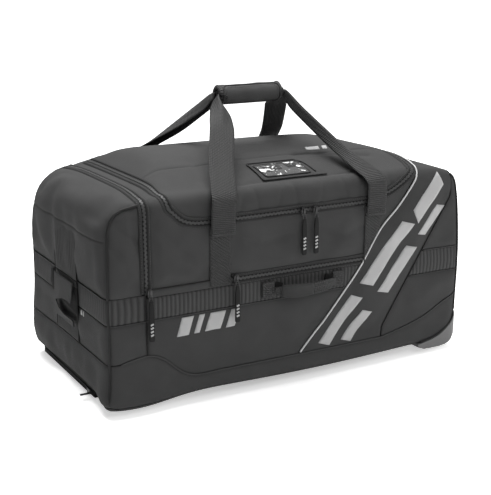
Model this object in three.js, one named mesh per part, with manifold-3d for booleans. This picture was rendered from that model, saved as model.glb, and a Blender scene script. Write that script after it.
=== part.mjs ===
// Wheeled equipment bag for ice sports: a soft zipped box with a lid, an end flap,
// two webbing carry loops, side and end grab handles, and two wheels at one end.
// Millimetres, +Z up. Inside the group, x runs from the pull end to the wheel end,
// y from the front wall to the rear wall, and z up from the bag's underside.
import * as THREE from 'three';
import * as BufferGeometryUtils from 'three/addons/utils/BufferGeometryUtils.js';
import Module from 'manifold-3d';

const wasm = await Module();
wasm.setup();

// Driving dimensions.
const LENGTH = 840;
const WIDTH = 440;
const SHOULDER = 400;
const CROWN = 447;
const WALL = 5;
const GAP = 0.3;
const GROUND = 22;
// How far the cutting tools stand clear of the bag: outside its walls, and in height.
const REACH = 40;
const SKY = 480;

// Seam lines of the walls.
const END_SEAM = 85;
const FLAP_HINGE = 213;
const BAND_LOW = 161;
const BAND_HIGH = 214.5;
const LID_FRONT = 339;
const LID_RIGHT = 715;
const LID_LEFT = 125;
const LID_HINGE_Y = 395;

// Carry loops.
const STRAP_WIDTH = 52;
const STRAP_THICK = 3;
const STRAP_X = [238.5, 604];
const STRAP_FREE_Z = 334.5;
const STRAP_OUT = 5;
const GRIP_Z = 548;
const GRIP_X = [352, 503];

// Side handles.
const SIDE_HANDLE_X = [359, 501];
const SIDE_HANDLE_Z = 187;
const SIDE_HANDLE_OUT = 22;

// Pull handle at the end wall.
const PULL_HANDLE_Y = 217;
const PULL_HANDLE_Z = [122, 206];
const PULL_HANDLE_OUT = 14;

// Wheels.
const WHEEL_X = 770;
const WHEEL_R = 40;
const WHEEL_WIDTH = 26;
const WHEEL_Y = [52, WIDTH - 52];
const AXLE_R = 4;
const WHEEL_Z = WHEEL_R - GROUND;
const HOUSING_X = [733, LENGTH];
const HOUSING_Y = 92;
const HOUSING_LOW = -11;
const GUARD_PROUD = 2.5;
const WELL_CLEAR = 4;
const WELL_WALL = 3;

// Foot bar under the pull end.
const FOOT_X = [15, 35];
const FOOT_Y = [118, 413];

// Materials: colour, roughness, metalness.
const FINISH = {
  fabric: [0x434345, 0.85, 0],
  boot: [0x3c3c3e, 0.8, 0],
  graphic: [0x4a4a4c, 0.8, 0],
  band: [0x353537, 0.85, 0],
  webbing: [0x2b2b2d, 0.75, 0],
  zip: [0x1c1c1e, 0.6, 0],
  slider: [0x55565a, 0.35, 1],
  pull: [0x222224, 0.6, 0],
  window: [0x6b6d70, 0.15, 0],
  guard: [0x69696c, 0.55, 0],
  board: [0x262628, 0.7, 0],
  tyre: [0x1a1a1a, 0.8, 0],
  hub: [0x2c2c2e, 0.5, 0],
  steel: [0xb4b6b8, 0.3, 1],
};

const bag = new THREE.Group();
bag.position.set((PULL_HANDLE_OUT - LENGTH - GUARD_PROUD) / 2, -WIDTH / 2, GROUND);

function addPiece(name, geometry, finish) {
  const [color, roughness, metalness] = FINISH[finish];
  const material = new THREE.MeshStandardMaterial({ color, roughness, metalness });
  const mesh = new THREE.Mesh(geometry, material);
  mesh.name = name;
  bag.add(mesh);
}

// Geometry helpers.

function box(x0, x1, y0, y1, z0, z1) {
  const geometry = new THREE.BoxGeometry(x1 - x0, y1 - y0, z1 - z0);
  return geometry.translate((x0 + x1) / 2, (y0 + y1) / 2, (z0 + z1) / 2);
}

function shapeOf(points) {
  return new THREE.Shape(points.map(([a, b]) => new THREE.Vector2(a, b)));
}

function extrude(points, depth) {
  const settings = { depth, bevelEnabled: false, curveSegments: 6 };
  return new THREE.ExtrudeGeometry(shapeOf(points), settings);
}

// Outline in x and z, swept along y.
function prismY(points, y0, y1) {
  return extrude(points, y1 - y0).rotateX(Math.PI / 2).translate(0, y1, 0);
}

// Outline in y and z, swept along x.
function prismX(points, x0, x1) {
  const geometry = extrude(points, x1 - x0);
  const axes = new THREE.Matrix4().set(0, 0, 1, x0, 1, 0, 0, 0, 0, 1, 0, 0, 0, 0, 0, 1);
  return geometry.applyMatrix4(axes);
}

// Outline in x and y, swept along z.
function prismZ(points, z0, z1) {
  return extrude(points, z1 - z0).translate(0, 0, z0);
}

function arc(cx, cz, radius, fromDegrees, toDegrees, steps) {
  const points = [];
  for (let i = 0; i <= steps; i += 1) {
    const angle = THREE.MathUtils.degToRad(fromDegrees + ((toDegrees - fromDegrees) * i) / steps);
    points.push([cx + radius * Math.cos(angle), cz + radius * Math.sin(angle)]);
  }
  return points;
}

function smooth(points, count) {
  const curve = new THREE.SplineCurve(points.map(([a, b]) => new THREE.Vector2(a, b)));
  return curve.getPoints(count).map((p) => [p.x, p.y]);
}

// Band beside the line of the given points, between two distances to its left.
function bandOutline(points, near, far) {
  const nearSide = [];
  const farSide = [];
  for (let i = 0; i < points.length; i += 1) {
    const before = points[Math.max(i - 1, 0)];
    const after = points[Math.min(i + 1, points.length - 1)];
    const length = Math.hypot(after[0] - before[0], after[1] - before[1]);
    const nx = -(after[1] - before[1]) / length;
    const nz = (after[0] - before[0]) / length;
    nearSide.push([points[i][0] + nx * near, points[i][1] + nz * near]);
    farSide.push([points[i][0] + nx * far, points[i][1] + nz * far]);
  }
  return nearSide.concat(farSide.reverse());
}

// Where a rising line reaches the given height.
function xAt(line, height) {
  const i = line.findIndex(([, z]) => z >= height);
  const [x0, z0] = line[i - 1];
  const [x1, z1] = line[i];
  return x0 + ((x1 - x0) * (height - z0)) / (z1 - z0);
}

// Closed body through rings of equal point count, capped at both ends.
function loft(rings) {
  const count = rings[0].length;
  const positions = rings.flat(2);
  const index = [];
  for (let r = 0; r < rings.length - 1; r += 1) {
    for (let i = 0; i < count; i += 1) {
      const a = r * count + i;
      const b = r * count + ((i + 1) % count);
      index.push(a, b, b + count, a, b + count, a + count);
    }
  }
  const last = (rings.length - 1) * count;
  for (let i = 1; i < count - 1; i += 1) {
    index.push(0, i + 1, i, last, last + i, last + i + 1);
  }
  const geometry = new THREE.BufferGeometry();
  geometry.setAttribute('position', new THREE.Float32BufferAttribute(positions, 3));
  geometry.setIndex(index);
  return geometry;
}

// Boolean helpers.

function solid(geometry) {
  const bare = geometry.clone();
  bare.deleteAttribute('normal');
  bare.deleteAttribute('uv');
  const merged = BufferGeometryUtils.mergeVertices(bare, 1e-4);
  const mesh = new wasm.Mesh({
    numProp: 3,
    vertProperties: new Float32Array(merged.attributes.position.array),
    triVerts: new Uint32Array(merged.index.array),
  });
  return new wasm.Manifold(mesh);
}

function geometryOf(manifold) {
  const mesh = manifold.getMesh();
  const geometry = new THREE.BufferGeometry();
  geometry.setAttribute('position', new THREE.BufferAttribute(mesh.vertProperties, 3));
  geometry.setIndex(new THREE.BufferAttribute(mesh.triVerts, 1));
  geometry.computeVertexNormals();
  return geometry;
}

function cut(from, ...tools) {
  return tools.reduce((left, tool) => left.subtract(tool), from);
}

// The bag's outer form: a side outline, a cross-section and a plan, all grown by `grow`.

function sideOutline(grow) {
  const g = grow;
  const crown = smooth([
    [75, SHOULDER + g],
    [125, SHOULDER + 5 + g],
    [185, CROWN - 5 + g],
    [260, CROWN + g],
    [570, CROWN + g],
    [650, CROWN - 10 + g],
    [LID_RIGHT, SHOULDER + 14 + g],
    [788, SHOULDER - 12 + g],
  ], 26);
  return [
    ...arc(14, 14, 14 + g, 270, 180, 3),
    ...arc(75, SHOULDER - 75, 75 + g, 180, 92, 8),
    ...crown,
    ...arc(782, SHOULDER - 54, 42 + g, 76, 8, 5),
    [834 + g, 150],
    ...arc(LENGTH - 16, 16, 16 + g, 0, -90, 3),
  ];
}

function crossOutline(grow) {
  const g = grow;
  const crown = smooth([
    [34, 398 + g],
    [60, 405 + g],
    [130, 428 + g],
    [210, CROWN + g],
    [290, CROWN + g],
    [350, 434 + g],
    [LID_HINGE_Y, 412 + g],
    [410, 408 + g],
  ], 18);
  return [
    ...arc(14, 14, 14 + g, 270, 180, 3),
    ...arc(34, 364, 34 + g, 180, 96, 6),
    ...crown,
    ...arc(WIDTH - 30, 378, 30 + g, 88, 0, 6),
    ...arc(WIDTH - 14, 14, 14 + g, 0, -90, 3),
  ];
}

function planOutline(grow) {
  const r = 27;
  return [
    ...arc(r, r, r + grow, 270, 180, 5),
    ...arc(r, WIDTH - r, r + grow, 180, 90, 5),
    ...arc(LENGTH - r, WIDTH - r, r + grow, 90, 0, 5),
    ...arc(LENGTH - r, r, r + grow, 0, -90, 5),
  ];
}

function bagForm(grow) {
  const side = solid(prismY(sideOutline(grow), -REACH, WIDTH + REACH));
  const cross = solid(prismX(crossOutline(grow), -REACH, LENGTH + REACH));
  const plan = solid(prismZ(planOutline(grow), -REACH, CROWN + REACH));
  return side.intersect(cross).intersect(plan);
}

// Seam lines, in x and z.

const waveSeam = [
  [-20, 84],
  ...smooth([[30, 84], [END_SEAM, 92], [118, 80], [141, 60], [162, 44], [185, 36.5], [212, 35]], 16),
  ...smooth([[240, 36], [580, 36], [650, 40], [740, 62], [800, 92], [850, 112]], 14),
];
const graphicLeft = [
  [418.6, 35.6],
  ...smooth([[483, 98], [530, 152], [572, 203], [619, 276], [662, 318], [694, 356]], 12),
  [LID_RIGHT, 385],
  [LID_RIGHT, 470],
];
const graphicRight = [[618.7, 35.6], [630, 56], [803, 327], [808, 345], [808, 470]];
const lidEdge = [
  [LID_LEFT, 470],
  [LID_LEFT, 398],
  ...smooth([[133, 374], [160, 349], [185, 341]], 6),
  [205, LID_FRONT],
  [600, LID_FRONT],
  ...smooth([[622, 350], [647, 358], [676, 374], [704, 390]], 6),
  [LID_RIGHT, 402],
  [LID_RIGHT, 470],
];

function knife(line, y0 = -REACH, y1 = WIDTH + REACH) {
  return solid(prismY(bandOutline(line, -GAP / 2, GAP / 2), y0, y1));
}

// Region of the side view, swept across the bag between two depths.
function region(points, y0 = -REACH, y1 = WIDTH + REACH) {
  return solid(prismY(points, y0, y1));
}

function bagPanels() {
  const outer = bagForm(0);
  const shell = outer.subtract(bagForm(-WALL));
  const middle = WIDTH / 2;
  const seams = [
    knife(waveSeam),
    knife([[END_SEAM, 92], [END_SEAM, 470]]),
    knife([[-20, FLAP_HINGE], [END_SEAM, FLAP_HINGE]]),
    knife([[END_SEAM, BAND_LOW], [xAt(graphicLeft, BAND_LOW), BAND_LOW]]),
    knife([[END_SEAM, BAND_HIGH], [xAt(graphicLeft, BAND_HIGH), BAND_HIGH]]),
    knife(graphicLeft),
    knife(graphicRight),
    knife(lidEdge, -REACH, LID_HINGE_Y + GAP / 2),
  ];
  const hingeCut = solid(box(END_SEAM, LID_RIGHT, LID_HINGE_Y - GAP / 2, LID_HINGE_Y + GAP / 2, 370, SKY));
  const bridgeFront = solid(box(END_SEAM, LID_LEFT + 5, 38, 38 + GAP, 370, SKY));
  const fabric = cut(shell, ...seams, hingeCut, bridgeFront, housingClearance());

  const above = region([...waveSeam, [850, SKY], [-20, SKY]]);
  const below = region([[-20, -20], ...waveSeam, [850, -20]]);
  const lidArea = region(lidEdge, -REACH, LID_HINGE_Y);
  const endArea = region([[-20, 0], [END_SEAM, 0], [END_SEAM, SKY], [-20, SKY]]);
  const flapArea = region([[-20, FLAP_HINGE], [END_SEAM, FLAP_HINGE], [END_SEAM, SKY], [-20, SKY]]);
  const rightOfLeft = region([...graphicLeft, [860, 470], [860, 0], [383, 0]]);
  const rightOfRight = region([...graphicRight, [860, 470], [860, 0], [599, 0]]);
  const walls = fabric.intersect(above).subtract(lidArea);
  const main = cut(walls, endArea, rightOfLeft);
  const lower = solid(box(END_SEAM, 600, -REACH, WIDTH + REACH, 0, BAND_LOW));
  const bandBox = solid(box(END_SEAM, 600, -REACH, WIDTH + REACH, BAND_LOW, BAND_HIGH));
  const upper = solid(box(END_SEAM, LID_RIGHT, -REACH, WIDTH + REACH, BAND_HIGH, SKY));
  const front = solid(box(-REACH, LENGTH + REACH, -REACH, middle, -REACH, SKY));
  const rear = solid(box(-REACH, LENGTH + REACH, middle, WIDTH + REACH, -REACH, SKY));
  const bridge = solid(box(END_SEAM, LID_LEFT + 5, 38 + GAP / 2, LID_HINGE_Y, 370, SKY));

  addPiece('base_boot', geometryOf(fabric.intersect(below)), 'boot');
  addPiece('pull_end_panel', geometryOf(walls.intersect(endArea).subtract(flapArea)), 'fabric');
  addPiece('end_flap_panel', geometryOf(fabric.intersect(flapArea)), 'fabric');
  addPiece('lower_panel_front', geometryOf(main.intersect(lower).intersect(front)), 'fabric');
  addPiece('lower_panel_rear', geometryOf(main.intersect(lower).intersect(rear)), 'fabric');
  addPiece('band_front', geometryOf(main.intersect(bandBox).intersect(front)), 'band');
  addPiece('band_rear', geometryOf(main.intersect(bandBox).intersect(rear)), 'band');
  addPiece('front_panel', geometryOf(main.intersect(upper).intersect(front).subtract(bridge)), 'fabric');
  addPiece('rear_panel', geometryOf(main.intersect(upper).intersect(rear).subtract(bridge)), 'fabric');
  addPiece('bridge_panel', geometryOf(main.intersect(bridge)), 'fabric');
  addPiece('graphic_panel', geometryOf(walls.intersect(rightOfLeft).subtract(rightOfRight)), 'graphic');
  addPiece('wheel_end_panel', geometryOf(walls.intersect(rightOfRight)), 'fabric');
  addPiece('lid_panel', geometryOf(fabric.intersect(lidArea)), 'fabric');
}

// Stiffening board on the bag's floor, and the strip under it at the wheel end.
function baseBoards() {
  const inset = WALL + 12;
  const boardEnd = WHEEL_X - WHEEL_R - 10;
  addPiece('base_board', box(inset, boardEnd, inset, WIDTH - inset, WALL + 1, WALL + 5), 'board');
  addPiece('base_skid', box(640, boardEnd, 30, WIDTH - 30, -7, -GAP), 'board');
}

// Zip chains: thin bands lying on the outer form along a seam line.
function zipChains() {
  const skin = bagForm(1.9).subtract(bagForm(GAP));
  const mainTrack = region(bandOutline(lidEdge, -0.4, -6.4), -REACH, LID_HINGE_Y - 2);
  addPiece('main_zip_chain', geometryOf(skin.intersect(mainTrack)), 'zip');

  const endTrack = solid(box(END_SEAM + 0.5, END_SEAM + 6.5, -REACH, WIDTH + REACH, FLAP_HINGE + 2, SKY));
  addPiece('end_zip_chain', geometryOf(skin.intersect(endTrack)), 'zip');

  addPiece('pocket_zip_chain', box(290, 560, -1.9, -GAP, 219, 225), 'zip');
}

// Webbing anchors, sewn to the front and rear walls.
function strapAnchors() {
  const thick = STRAP_THICK;
  for (const [side, sign, wall] of [['front', -1, 0], ['rear', 1, WIDTH]]) {
    for (const [end, x] of [['left', STRAP_X[0]], ['right', STRAP_X[1]]]) {
      const y0 = wall + sign * GAP;
      const y1 = wall + sign * (GAP + thick);
      const anchor = box(x - STRAP_WIDTH / 2, x + STRAP_WIDTH / 2,
        Math.min(y0, y1), Math.max(y0, y1), BAND_HIGH - 2, STRAP_FREE_Z - 3.5);
      addPiece(`strap_anchor_${side}_${end}`, anchor, 'webbing');
    }
  }
}

// One free strap: flat at the wall, leaning in over the lid, gathered at the grip.
// The rear ones rise a little higher first, over the rear wall's taller shoulder.
function freeStrap(x, gripEnd, mirror) {
  const inward = Math.sign(gripEnd - x);
  const lift = mirror ? 16 : 0;
  const path = new THREE.CatmullRomCurve3([
    new THREE.Vector3(x, -STRAP_OUT, STRAP_FREE_Z),
    new THREE.Vector3(x, -STRAP_OUT - 2, 360),
    new THREE.Vector3(x + inward * 4, -4, 388 + lift),
    new THREE.Vector3(x + inward * 40, 62, 436 + lift),
    new THREE.Vector3(x + inward * 88, 160, 513 + lift / 2),
    new THREE.Vector3(gripEnd - inward * 7, 209, GRIP_Z - 4),
  ], false, 'catmullrom', 0.4);
  const steps = 16;
  const along = new THREE.Vector3(1, 0, 0);
  const upright = new THREE.Vector3(0, 0.25, 1).normalize();
  const rings = [];
  for (let i = 0; i <= steps; i += 1) {
    const t = i / steps;
    const twist = THREE.MathUtils.smoothstep(t, 0.72, 1);
    const centre = path.getPoint(t);
    const tangent = path.getTangent(t);
    const flat = along.clone().lerp(upright, twist).normalize();
    const across = flat.addScaledVector(tangent, -flat.dot(tangent)).normalize();
    const normal = tangent.clone().cross(across).normalize();
    const halfWidth = THREE.MathUtils.lerp(STRAP_WIDTH, 18, twist) / 2;
    const halfThick = THREE.MathUtils.lerp(STRAP_THICK, 9, twist) / 2;
    const ring = [[-1, -1], [1, -1], [1, 1], [-1, 1]].map(([a, b]) => {
      const p = centre.clone().addScaledVector(across, a * halfWidth).addScaledVector(normal, b * halfThick);
      return [p.x, mirror ? WIDTH - p.y : p.y, p.z];
    });
    rings.push(mirror ? ring.reverse() : ring);
  }
  return loft(rings);
}

function carryLoops() {
  const middle = WIDTH / 2;
  for (const [side, mirror] of [['front', false], ['rear', true]]) {
    addPiece(`${side}_strap_left`, freeStrap(STRAP_X[0], GRIP_X[0], mirror), 'webbing');
    addPiece(`${side}_strap_right`, freeStrap(STRAP_X[1], GRIP_X[1], mirror), 'webbing');
    const y0 = mirror ? middle + 1.5 : middle - 13;
    const bundle = box(GRIP_X[0], GRIP_X[1], y0, y0 + 11.5, GRIP_Z - 9, GRIP_Z + 9);
    addPiece(`${side}_grip_strap`, bundle, 'webbing');
  }
}

// Padded wrap round both straps, open to the rear, and the flap that closes it.
function sleevePart(inner, outer, fromDegrees, toDegrees, x0, x1) {
  const steps = Math.round(Math.abs(toDegrees - fromDegrees) / 15);
  const middle = WIDTH / 2;
  const outline = [
    ...arc(middle, GRIP_Z, outer, fromDegrees, toDegrees, steps),
    ...arc(middle, GRIP_Z, inner, toDegrees, fromDegrees, steps),
  ];
  return prismX(outline, x0, x1);
}

function gripWrap() {
  const inset = 1;
  addPiece('grip_wrap', sleevePart(17.5, 20.5, 36, 324, GRIP_X[0] + inset, GRIP_X[1] - inset), 'webbing');
  addPiece('grip_flap', sleevePart(21, 23.5, -58, 52, GRIP_X[0] + 8, GRIP_X[1] - 8), 'webbing');
}

// Grab handle arched off a wall, tapered towards its two ends.
function archHandle(mirror) {
  const steps = 14;
  const rings = [];
  const length = SIDE_HANDLE_X[1] - SIDE_HANDLE_X[0];
  for (let i = 0; i <= steps; i += 1) {
    const t = i / steps;
    const rise = Math.sin(Math.PI * Math.min(1, Math.min(t, 1 - t) * 3.2) / 2);
    const out = THREE.MathUtils.lerp(8.6, SIDE_HANDLE_OUT + 1, rise);
    const half = THREE.MathUtils.lerp(9, 13, rise);
    const x = SIDE_HANDLE_X[0] + length * t;
    const ring = [
      [x, -out + 2, SIDE_HANDLE_Z - half],
      [x, -out + 2, SIDE_HANDLE_Z + half],
      [x, -out - 1.5, SIDE_HANDLE_Z + half],
      [x, -out - 1.5, SIDE_HANDLE_Z - half],
    ].map(([px, py, pz]) => [px, mirror ? WIDTH - py : py, pz]);
    rings.push(mirror ? ring.reverse() : ring);
  }
  return loft(rings);
}

function grabHandles() {
  addPiece('side_handle_front', archHandle(false), 'webbing');
  addPiece('side_handle_rear', archHandle(true), 'webbing');
  const [low, high] = PULL_HANDLE_Z;
  const middle = (low + high) / 2;
  const out = -PULL_HANDLE_OUT;
  const profile = [
    [-2.2, low], [-5, low], [out, middle - 22], [out, middle + 22], [-5, high], [-2.2, high],
    [out + 5, middle + 20], [out + 5, middle - 20],
  ];
  const body = prismY(profile, PULL_HANDLE_Y - 34, PULL_HANDLE_Y + 34);
  addPiece('pull_handle', body, 'band');
}

// Zip slider bodies with a bridge, and the long cord pulls that hang from them.
function sliderBody(width, height) {
  const body = box(-width / 2, width / 2, -6, -2.2, -height / 2, height / 2);
  const bridge = box(-1.6, 1.6, -8.6, -5.5, -height / 2 + 1, height / 2 - 1);
  return geometryOf(solid(body).add(solid(bridge)));
}

function pullTab(length) {
  const outline = [
    [-2.2, -2], [2.2, -2], [3.6, -14], [5.6, -26], [5.6, -length + 4], [3.6, -length],
    [-3.6, -length], [-5.6, -length + 4], [-5.6, -26], [-3.6, -14],
  ];
  return prismY(outline.reverse(), -12, -9);
}

function zipSliders() {
  const places = [
    ['main_left', 424, LID_FRONT - 1],
    ['main_right', 452, LID_FRONT - 1],
    ['pocket', 272, 222],
    ['end', END_SEAM + 3.5, FLAP_HINGE + 6],
  ];
  for (const [name, x, z] of places) {
    const length = name === 'end' ? 96 : 90;
    addPiece(`${name}_slider`, sliderBody(10, 16).translate(x, 0, z), 'slider');
    addPiece(`${name}_pull`, pullTab(length).translate(x, 0, z - 9), 'pull');
  }
}

// Clear document window sewn on the lid near its front edge.
function identityWindow() {
  const lift = bagForm(2.2).subtract(bagForm(GAP));
  const hole = solid(box(352, 491, 65, 141, 380, SKY));
  const frame = solid(box(343, 500, 56, 150, 380, SKY)).subtract(hole);
  addPiece('id_frame', geometryOf(lift.intersect(frame)), 'webbing');
  const film = bagForm(1.5).subtract(bagForm(GAP));
  const opening = solid(box(352.3, 490.7, 65.3, 140.7, 380, SKY));
  addPiece('id_window', geometryOf(film.intersect(opening)), 'window');
}

// Moulded corner housing: a guard round the bag's lower corner, and the wheel well in it.
const guardRim = smooth([[LENGTH + 4, 64], [814, 34], [780, 12], [HOUSING_X[0] - 4, 1]], 8);

function guardBlock() {
  const [x0] = HOUSING_X;
  const outline = [
    ...guardRim,
    [x0 - 4, -5],
    ...smooth([[x0 + 12, HOUSING_LOW], [796, HOUSING_LOW], [822, 0], [838, 26], [LENGTH + 4, 56]], 10),
  ];
  const plan = solid(prismZ(planOutline(GUARD_PROUD), HOUSING_LOW - 1, 80));
  return region(outline).intersect(plan);
}

function wheelCylinder(radius, width, y) {
  const geometry = new THREE.CylinderGeometry(radius, radius, width, 40);
  return solid(geometry.translate(WHEEL_X, y, WHEEL_Z));
}

const wellWidth = WHEEL_WIDTH + 6;

function wellCover(y, grow) {
  const floor = solid(box(HOUSING_X[0] - 20, LENGTH, 0, WIDTH, HOUSING_LOW, 90));
  const radius = WHEEL_R + WELL_CLEAR + WELL_WALL + grow;
  return wheelCylinder(radius, wellWidth + 2 * (WELL_WALL + grow), y).intersect(floor);
}

function housingSpan(index) {
  const [y0, y1] = index === 0 ? [-REACH, HOUSING_Y] : [WIDTH - HOUSING_Y, WIDTH + REACH];
  return solid(box(600, LENGTH + REACH, y0, y1, -REACH, 120));
}

// Everything the fabric and the boards keep clear of at the wheel corners.
function housingClearance() {
  const gap = 0.4;
  const corner = region([
    ...guardRim.map(([x, z]) => [x - gap, z + gap]),
    [HOUSING_X[0] - 4 - gap, -30],
    [LENGTH + 20, -30],
  ]);
  const spans = [0, 1].map((i) => {
    const [y0, y1] = i === 0 ? [-REACH, HOUSING_Y + GAP] : [WIDTH - HOUSING_Y - GAP, WIDTH + REACH];
    const reach = solid(box(600, LENGTH + REACH, y0, y1, -REACH, 120));
    return corner.intersect(reach).add(wellCover(WHEEL_Y[i], 2 * GAP));
  });
  return spans[0].add(spans[1]);
}

function wheelHousings() {
  for (const [i, side] of [[0, 'front'], [1, 'rear']]) {
    const y = WHEEL_Y[i];
    const block = guardBlock().intersect(housingSpan(i)).add(wellCover(y, 0));
    const well = wheelCylinder(WHEEL_R + WELL_CLEAR, wellWidth, y);
    const bore = wheelCylinder(AXLE_R + GAP, wellWidth + 24, y);
    addPiece(`wheel_housing_${side}`, geometryOf(cut(block, well, bore)), 'guard');
  }
}

function lathe(points) {
  const profile = points.map(([r, y]) => new THREE.Vector2(r, y));
  return geometryOf(solid(new THREE.LatheGeometry(profile, 48)));
}

function wheels() {
  const half = WHEEL_WIDTH / 2;
  const tyre = [
    [30, -half], [38, -half], [WHEEL_R, -half + 4],
    [WHEEL_R, half - 4], [38, half], [30, half], [30, -half],
  ];
  const rim = [
    [8.3, -11], [12, -11], [14, -4], [26, -4], [28, -12], [29.7, -12],
    [29.7, 12], [28, 12], [26, 4], [14, 4], [12, 11], [8.3, 11], [8.3, -11],
  ];
  const bearing = [[AXLE_R + 0.12, -11], [8, -11], [8, 11], [AXLE_R + 0.12, 11], [AXLE_R + 0.12, -11]];
  for (const [i, side] of [[0, 'front'], [1, 'rear']]) {
    const y = WHEEL_Y[i];
    addPiece(`tyre_${side}`, lathe(tyre).translate(WHEEL_X, y, WHEEL_Z), 'tyre');
    addPiece(`wheel_hub_${side}`, lathe(rim).translate(WHEEL_X, y, WHEEL_Z), 'hub');
    addPiece(`wheel_bearing_${side}`, lathe(bearing).translate(WHEEL_X, y, WHEEL_Z), 'steel');
    const axle = new THREE.CylinderGeometry(AXLE_R, AXLE_R, wellWidth + 22, 40);
    addPiece(`wheel_axle_${side}`, axle.translate(WHEEL_X, y, WHEEL_Z), 'steel');
  }
}

// Foot bar: a stiff core in a zipped fabric sleeve, sewn under the pull end.
function foot() {
  const [x0, x1] = FOOT_X;
  const [y0, y1] = FOOT_Y;
  const wall = 2.5;
  const sleeve = [
    [x0, -GAP], [x0, -GROUND + 3], [x0 + 3, -GROUND], [x1 - 3, -GROUND], [x1, -GROUND + 3], [x1, -GAP],
    [x1 - wall, -GAP], [x1 - wall, -GROUND + wall + 1], [x0 + wall, -GROUND + wall + 1], [x0 + wall, -GAP],
  ];
  addPiece('foot_sleeve', prismY(sleeve, y0, y1), 'zip');
  const core = box(x0 + wall + GAP, x1 - wall - GAP, y0 + 2, y1 - 2, -GROUND + wall + 1 + GAP, -1);
  addPiece('foot_core', core, 'board');
  addPiece('foot_zip_chain', box(x0 - 1.9, x0 - GAP, y0 + 22, y1 - 8, -13, -7), 'zip');
  const slider = box(x0 - 6, x0 - 2.2, y0 + 6, y0 + 20, -15, -5);
  addPiece('foot_slider', slider, 'slider');
  addPiece('foot_pull', box(x0 - 27, x0 - 6.5, y0 - 1, y0 + 4, -11.2, -8.8), 'slider');
}

// Thin lining of the zipped front pocket, hung behind the front wall.
function pocketLining() {
  addPiece('front_pocket_lining', box(268, 520, WALL + 1, WALL + 3, 70, 212), 'band');
}

bagPanels();
baseBoards();
zipChains();
strapAnchors();
carryLoops();
gripWrap();
grabHandles();
zipSliders();
identityWindow();
pocketLining();
wheelHousings();
wheels();
foot();

export default bag;
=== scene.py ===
"""Looks of a wheeled ice sports equipment bag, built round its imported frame.

Bag coordinates are millimetres: x from the pull end, y from the front wall and z up from the
underside. `to_row` turns them into the frame's metres.
"""
import math

import bpy
import numpy as np
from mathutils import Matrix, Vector, kdtree, noise
from mathutils.geometry import delaunay_2d_cdt


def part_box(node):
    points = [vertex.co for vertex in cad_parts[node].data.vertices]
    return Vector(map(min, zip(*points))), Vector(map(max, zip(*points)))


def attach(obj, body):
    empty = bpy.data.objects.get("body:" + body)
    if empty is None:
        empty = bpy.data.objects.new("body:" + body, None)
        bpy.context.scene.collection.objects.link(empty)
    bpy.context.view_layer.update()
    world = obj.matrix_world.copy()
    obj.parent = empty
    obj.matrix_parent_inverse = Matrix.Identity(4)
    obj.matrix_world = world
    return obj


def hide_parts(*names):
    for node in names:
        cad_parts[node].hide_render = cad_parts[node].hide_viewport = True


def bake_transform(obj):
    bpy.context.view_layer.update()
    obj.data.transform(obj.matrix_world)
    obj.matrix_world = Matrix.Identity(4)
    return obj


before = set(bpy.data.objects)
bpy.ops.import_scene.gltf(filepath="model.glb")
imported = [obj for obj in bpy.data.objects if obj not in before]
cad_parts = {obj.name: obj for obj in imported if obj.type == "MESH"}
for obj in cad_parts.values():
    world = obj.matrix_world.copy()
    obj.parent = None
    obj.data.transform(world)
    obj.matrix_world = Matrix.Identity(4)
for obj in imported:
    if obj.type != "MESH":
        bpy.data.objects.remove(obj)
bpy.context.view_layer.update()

LOW = np.array(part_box("base_boot")[0]) * 1000


def box_mm(node):
    """Lowest and highest corner of a CAD node, in bag millimetres."""
    return [np.array(corner) * 1000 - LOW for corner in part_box(node)]


def span(node, axis):
    """Lowest and highest coordinate of a CAD node along one axis."""
    low, high = box_mm(node)
    return low[axis], high[axis]


LENGTH = span("base_boot", 0)[1]
WIDTH = span("base_boot", 1)[1]
MIDDLE = WIDTH / 2
END_SEAM = span("band_front", 0)[0]
BAND_LOW, BAND_HIGH = span("band_front", 2)
FLAP_LOW, SHOULDER = span("end_flap_panel", 2)
LID_LEFT, LID_RIGHT = span("lid_panel", 0)
LID_FRONT, CROWN = span("lid_panel", 2)
HINGE_Y = span("lid_panel", 1)[1]
STRAP_LEFT = span("strap_anchor_front_left", 0)
STRAP_RIGHT = span("strap_anchor_front_right", 0)
STRAP_FREE_Z = span("strap_anchor_front_left", 2)[1] + 3.5
GRIP_X = span("front_grip_strap", 0)
GRIP_Z = sum(span("grip_wrap", 2)) / 2
PULL_Y = sum(span("pull_handle", 1)) / 2
PULL_Z = span("pull_handle", 2)
ZIP_HALF = 8.5
# Widths of the ribs sewn in the bands, in the gussets' part of the band and in the end strip.
RIB, GUSSET_RIB, STRIP_RIB = 9.0, 13.5, 7.2
# Heights of the front wall's upper end, of the boot on the pull end, and of the boot beside END_SEAM.
WALL_TOP = 398
BOOT_END = 84
BOOT_GUSSET = 92
# Cloth between the bag and the end flap: the two bodies, and where a bend between them starts and ends.
# make() only bakes such a piece in place; nothing here bends it.
FLAP_BEND = ("bag", "end_flap", (0, MIDDLE, FLAP_LOW - 4), (0, MIDDLE, FLAP_LOW + 40))


def unit(vectors):
    return vectors / np.maximum(np.linalg.norm(vectors, axis=1, keepdims=True), 1e-9)


def to_row(points):
    return (np.asarray(points, float) + LOW) / 1000


# Form of the bag: a side outline, a cross-section and a plan, joined with rounded edges.


def arc(cx, cy, radius, start, stop, steps):
    angles = np.radians(np.linspace(start, stop, steps + 1))
    return [(cx + radius * math.cos(a), cy + radius * math.sin(a)) for a in angles]


def spline(points, steps):
    """Smooth line through the points, cubic between each pair."""
    p = np.array([points[0], *points, points[-1]], float)
    out = []
    for i in range(1, len(p) - 2):
        for t in np.linspace(0, 1, steps, endpoint=False):
            a, b, c, d = p[i - 1 : i + 3]
            value = b + 0.5 * t * (c - a + t * (2 * a - 5 * b + 4 * c - d + t * (3 * (b - c) + d - a)))
            out.append(tuple(value))
    out.append(tuple(p[-1]))
    return out


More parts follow.
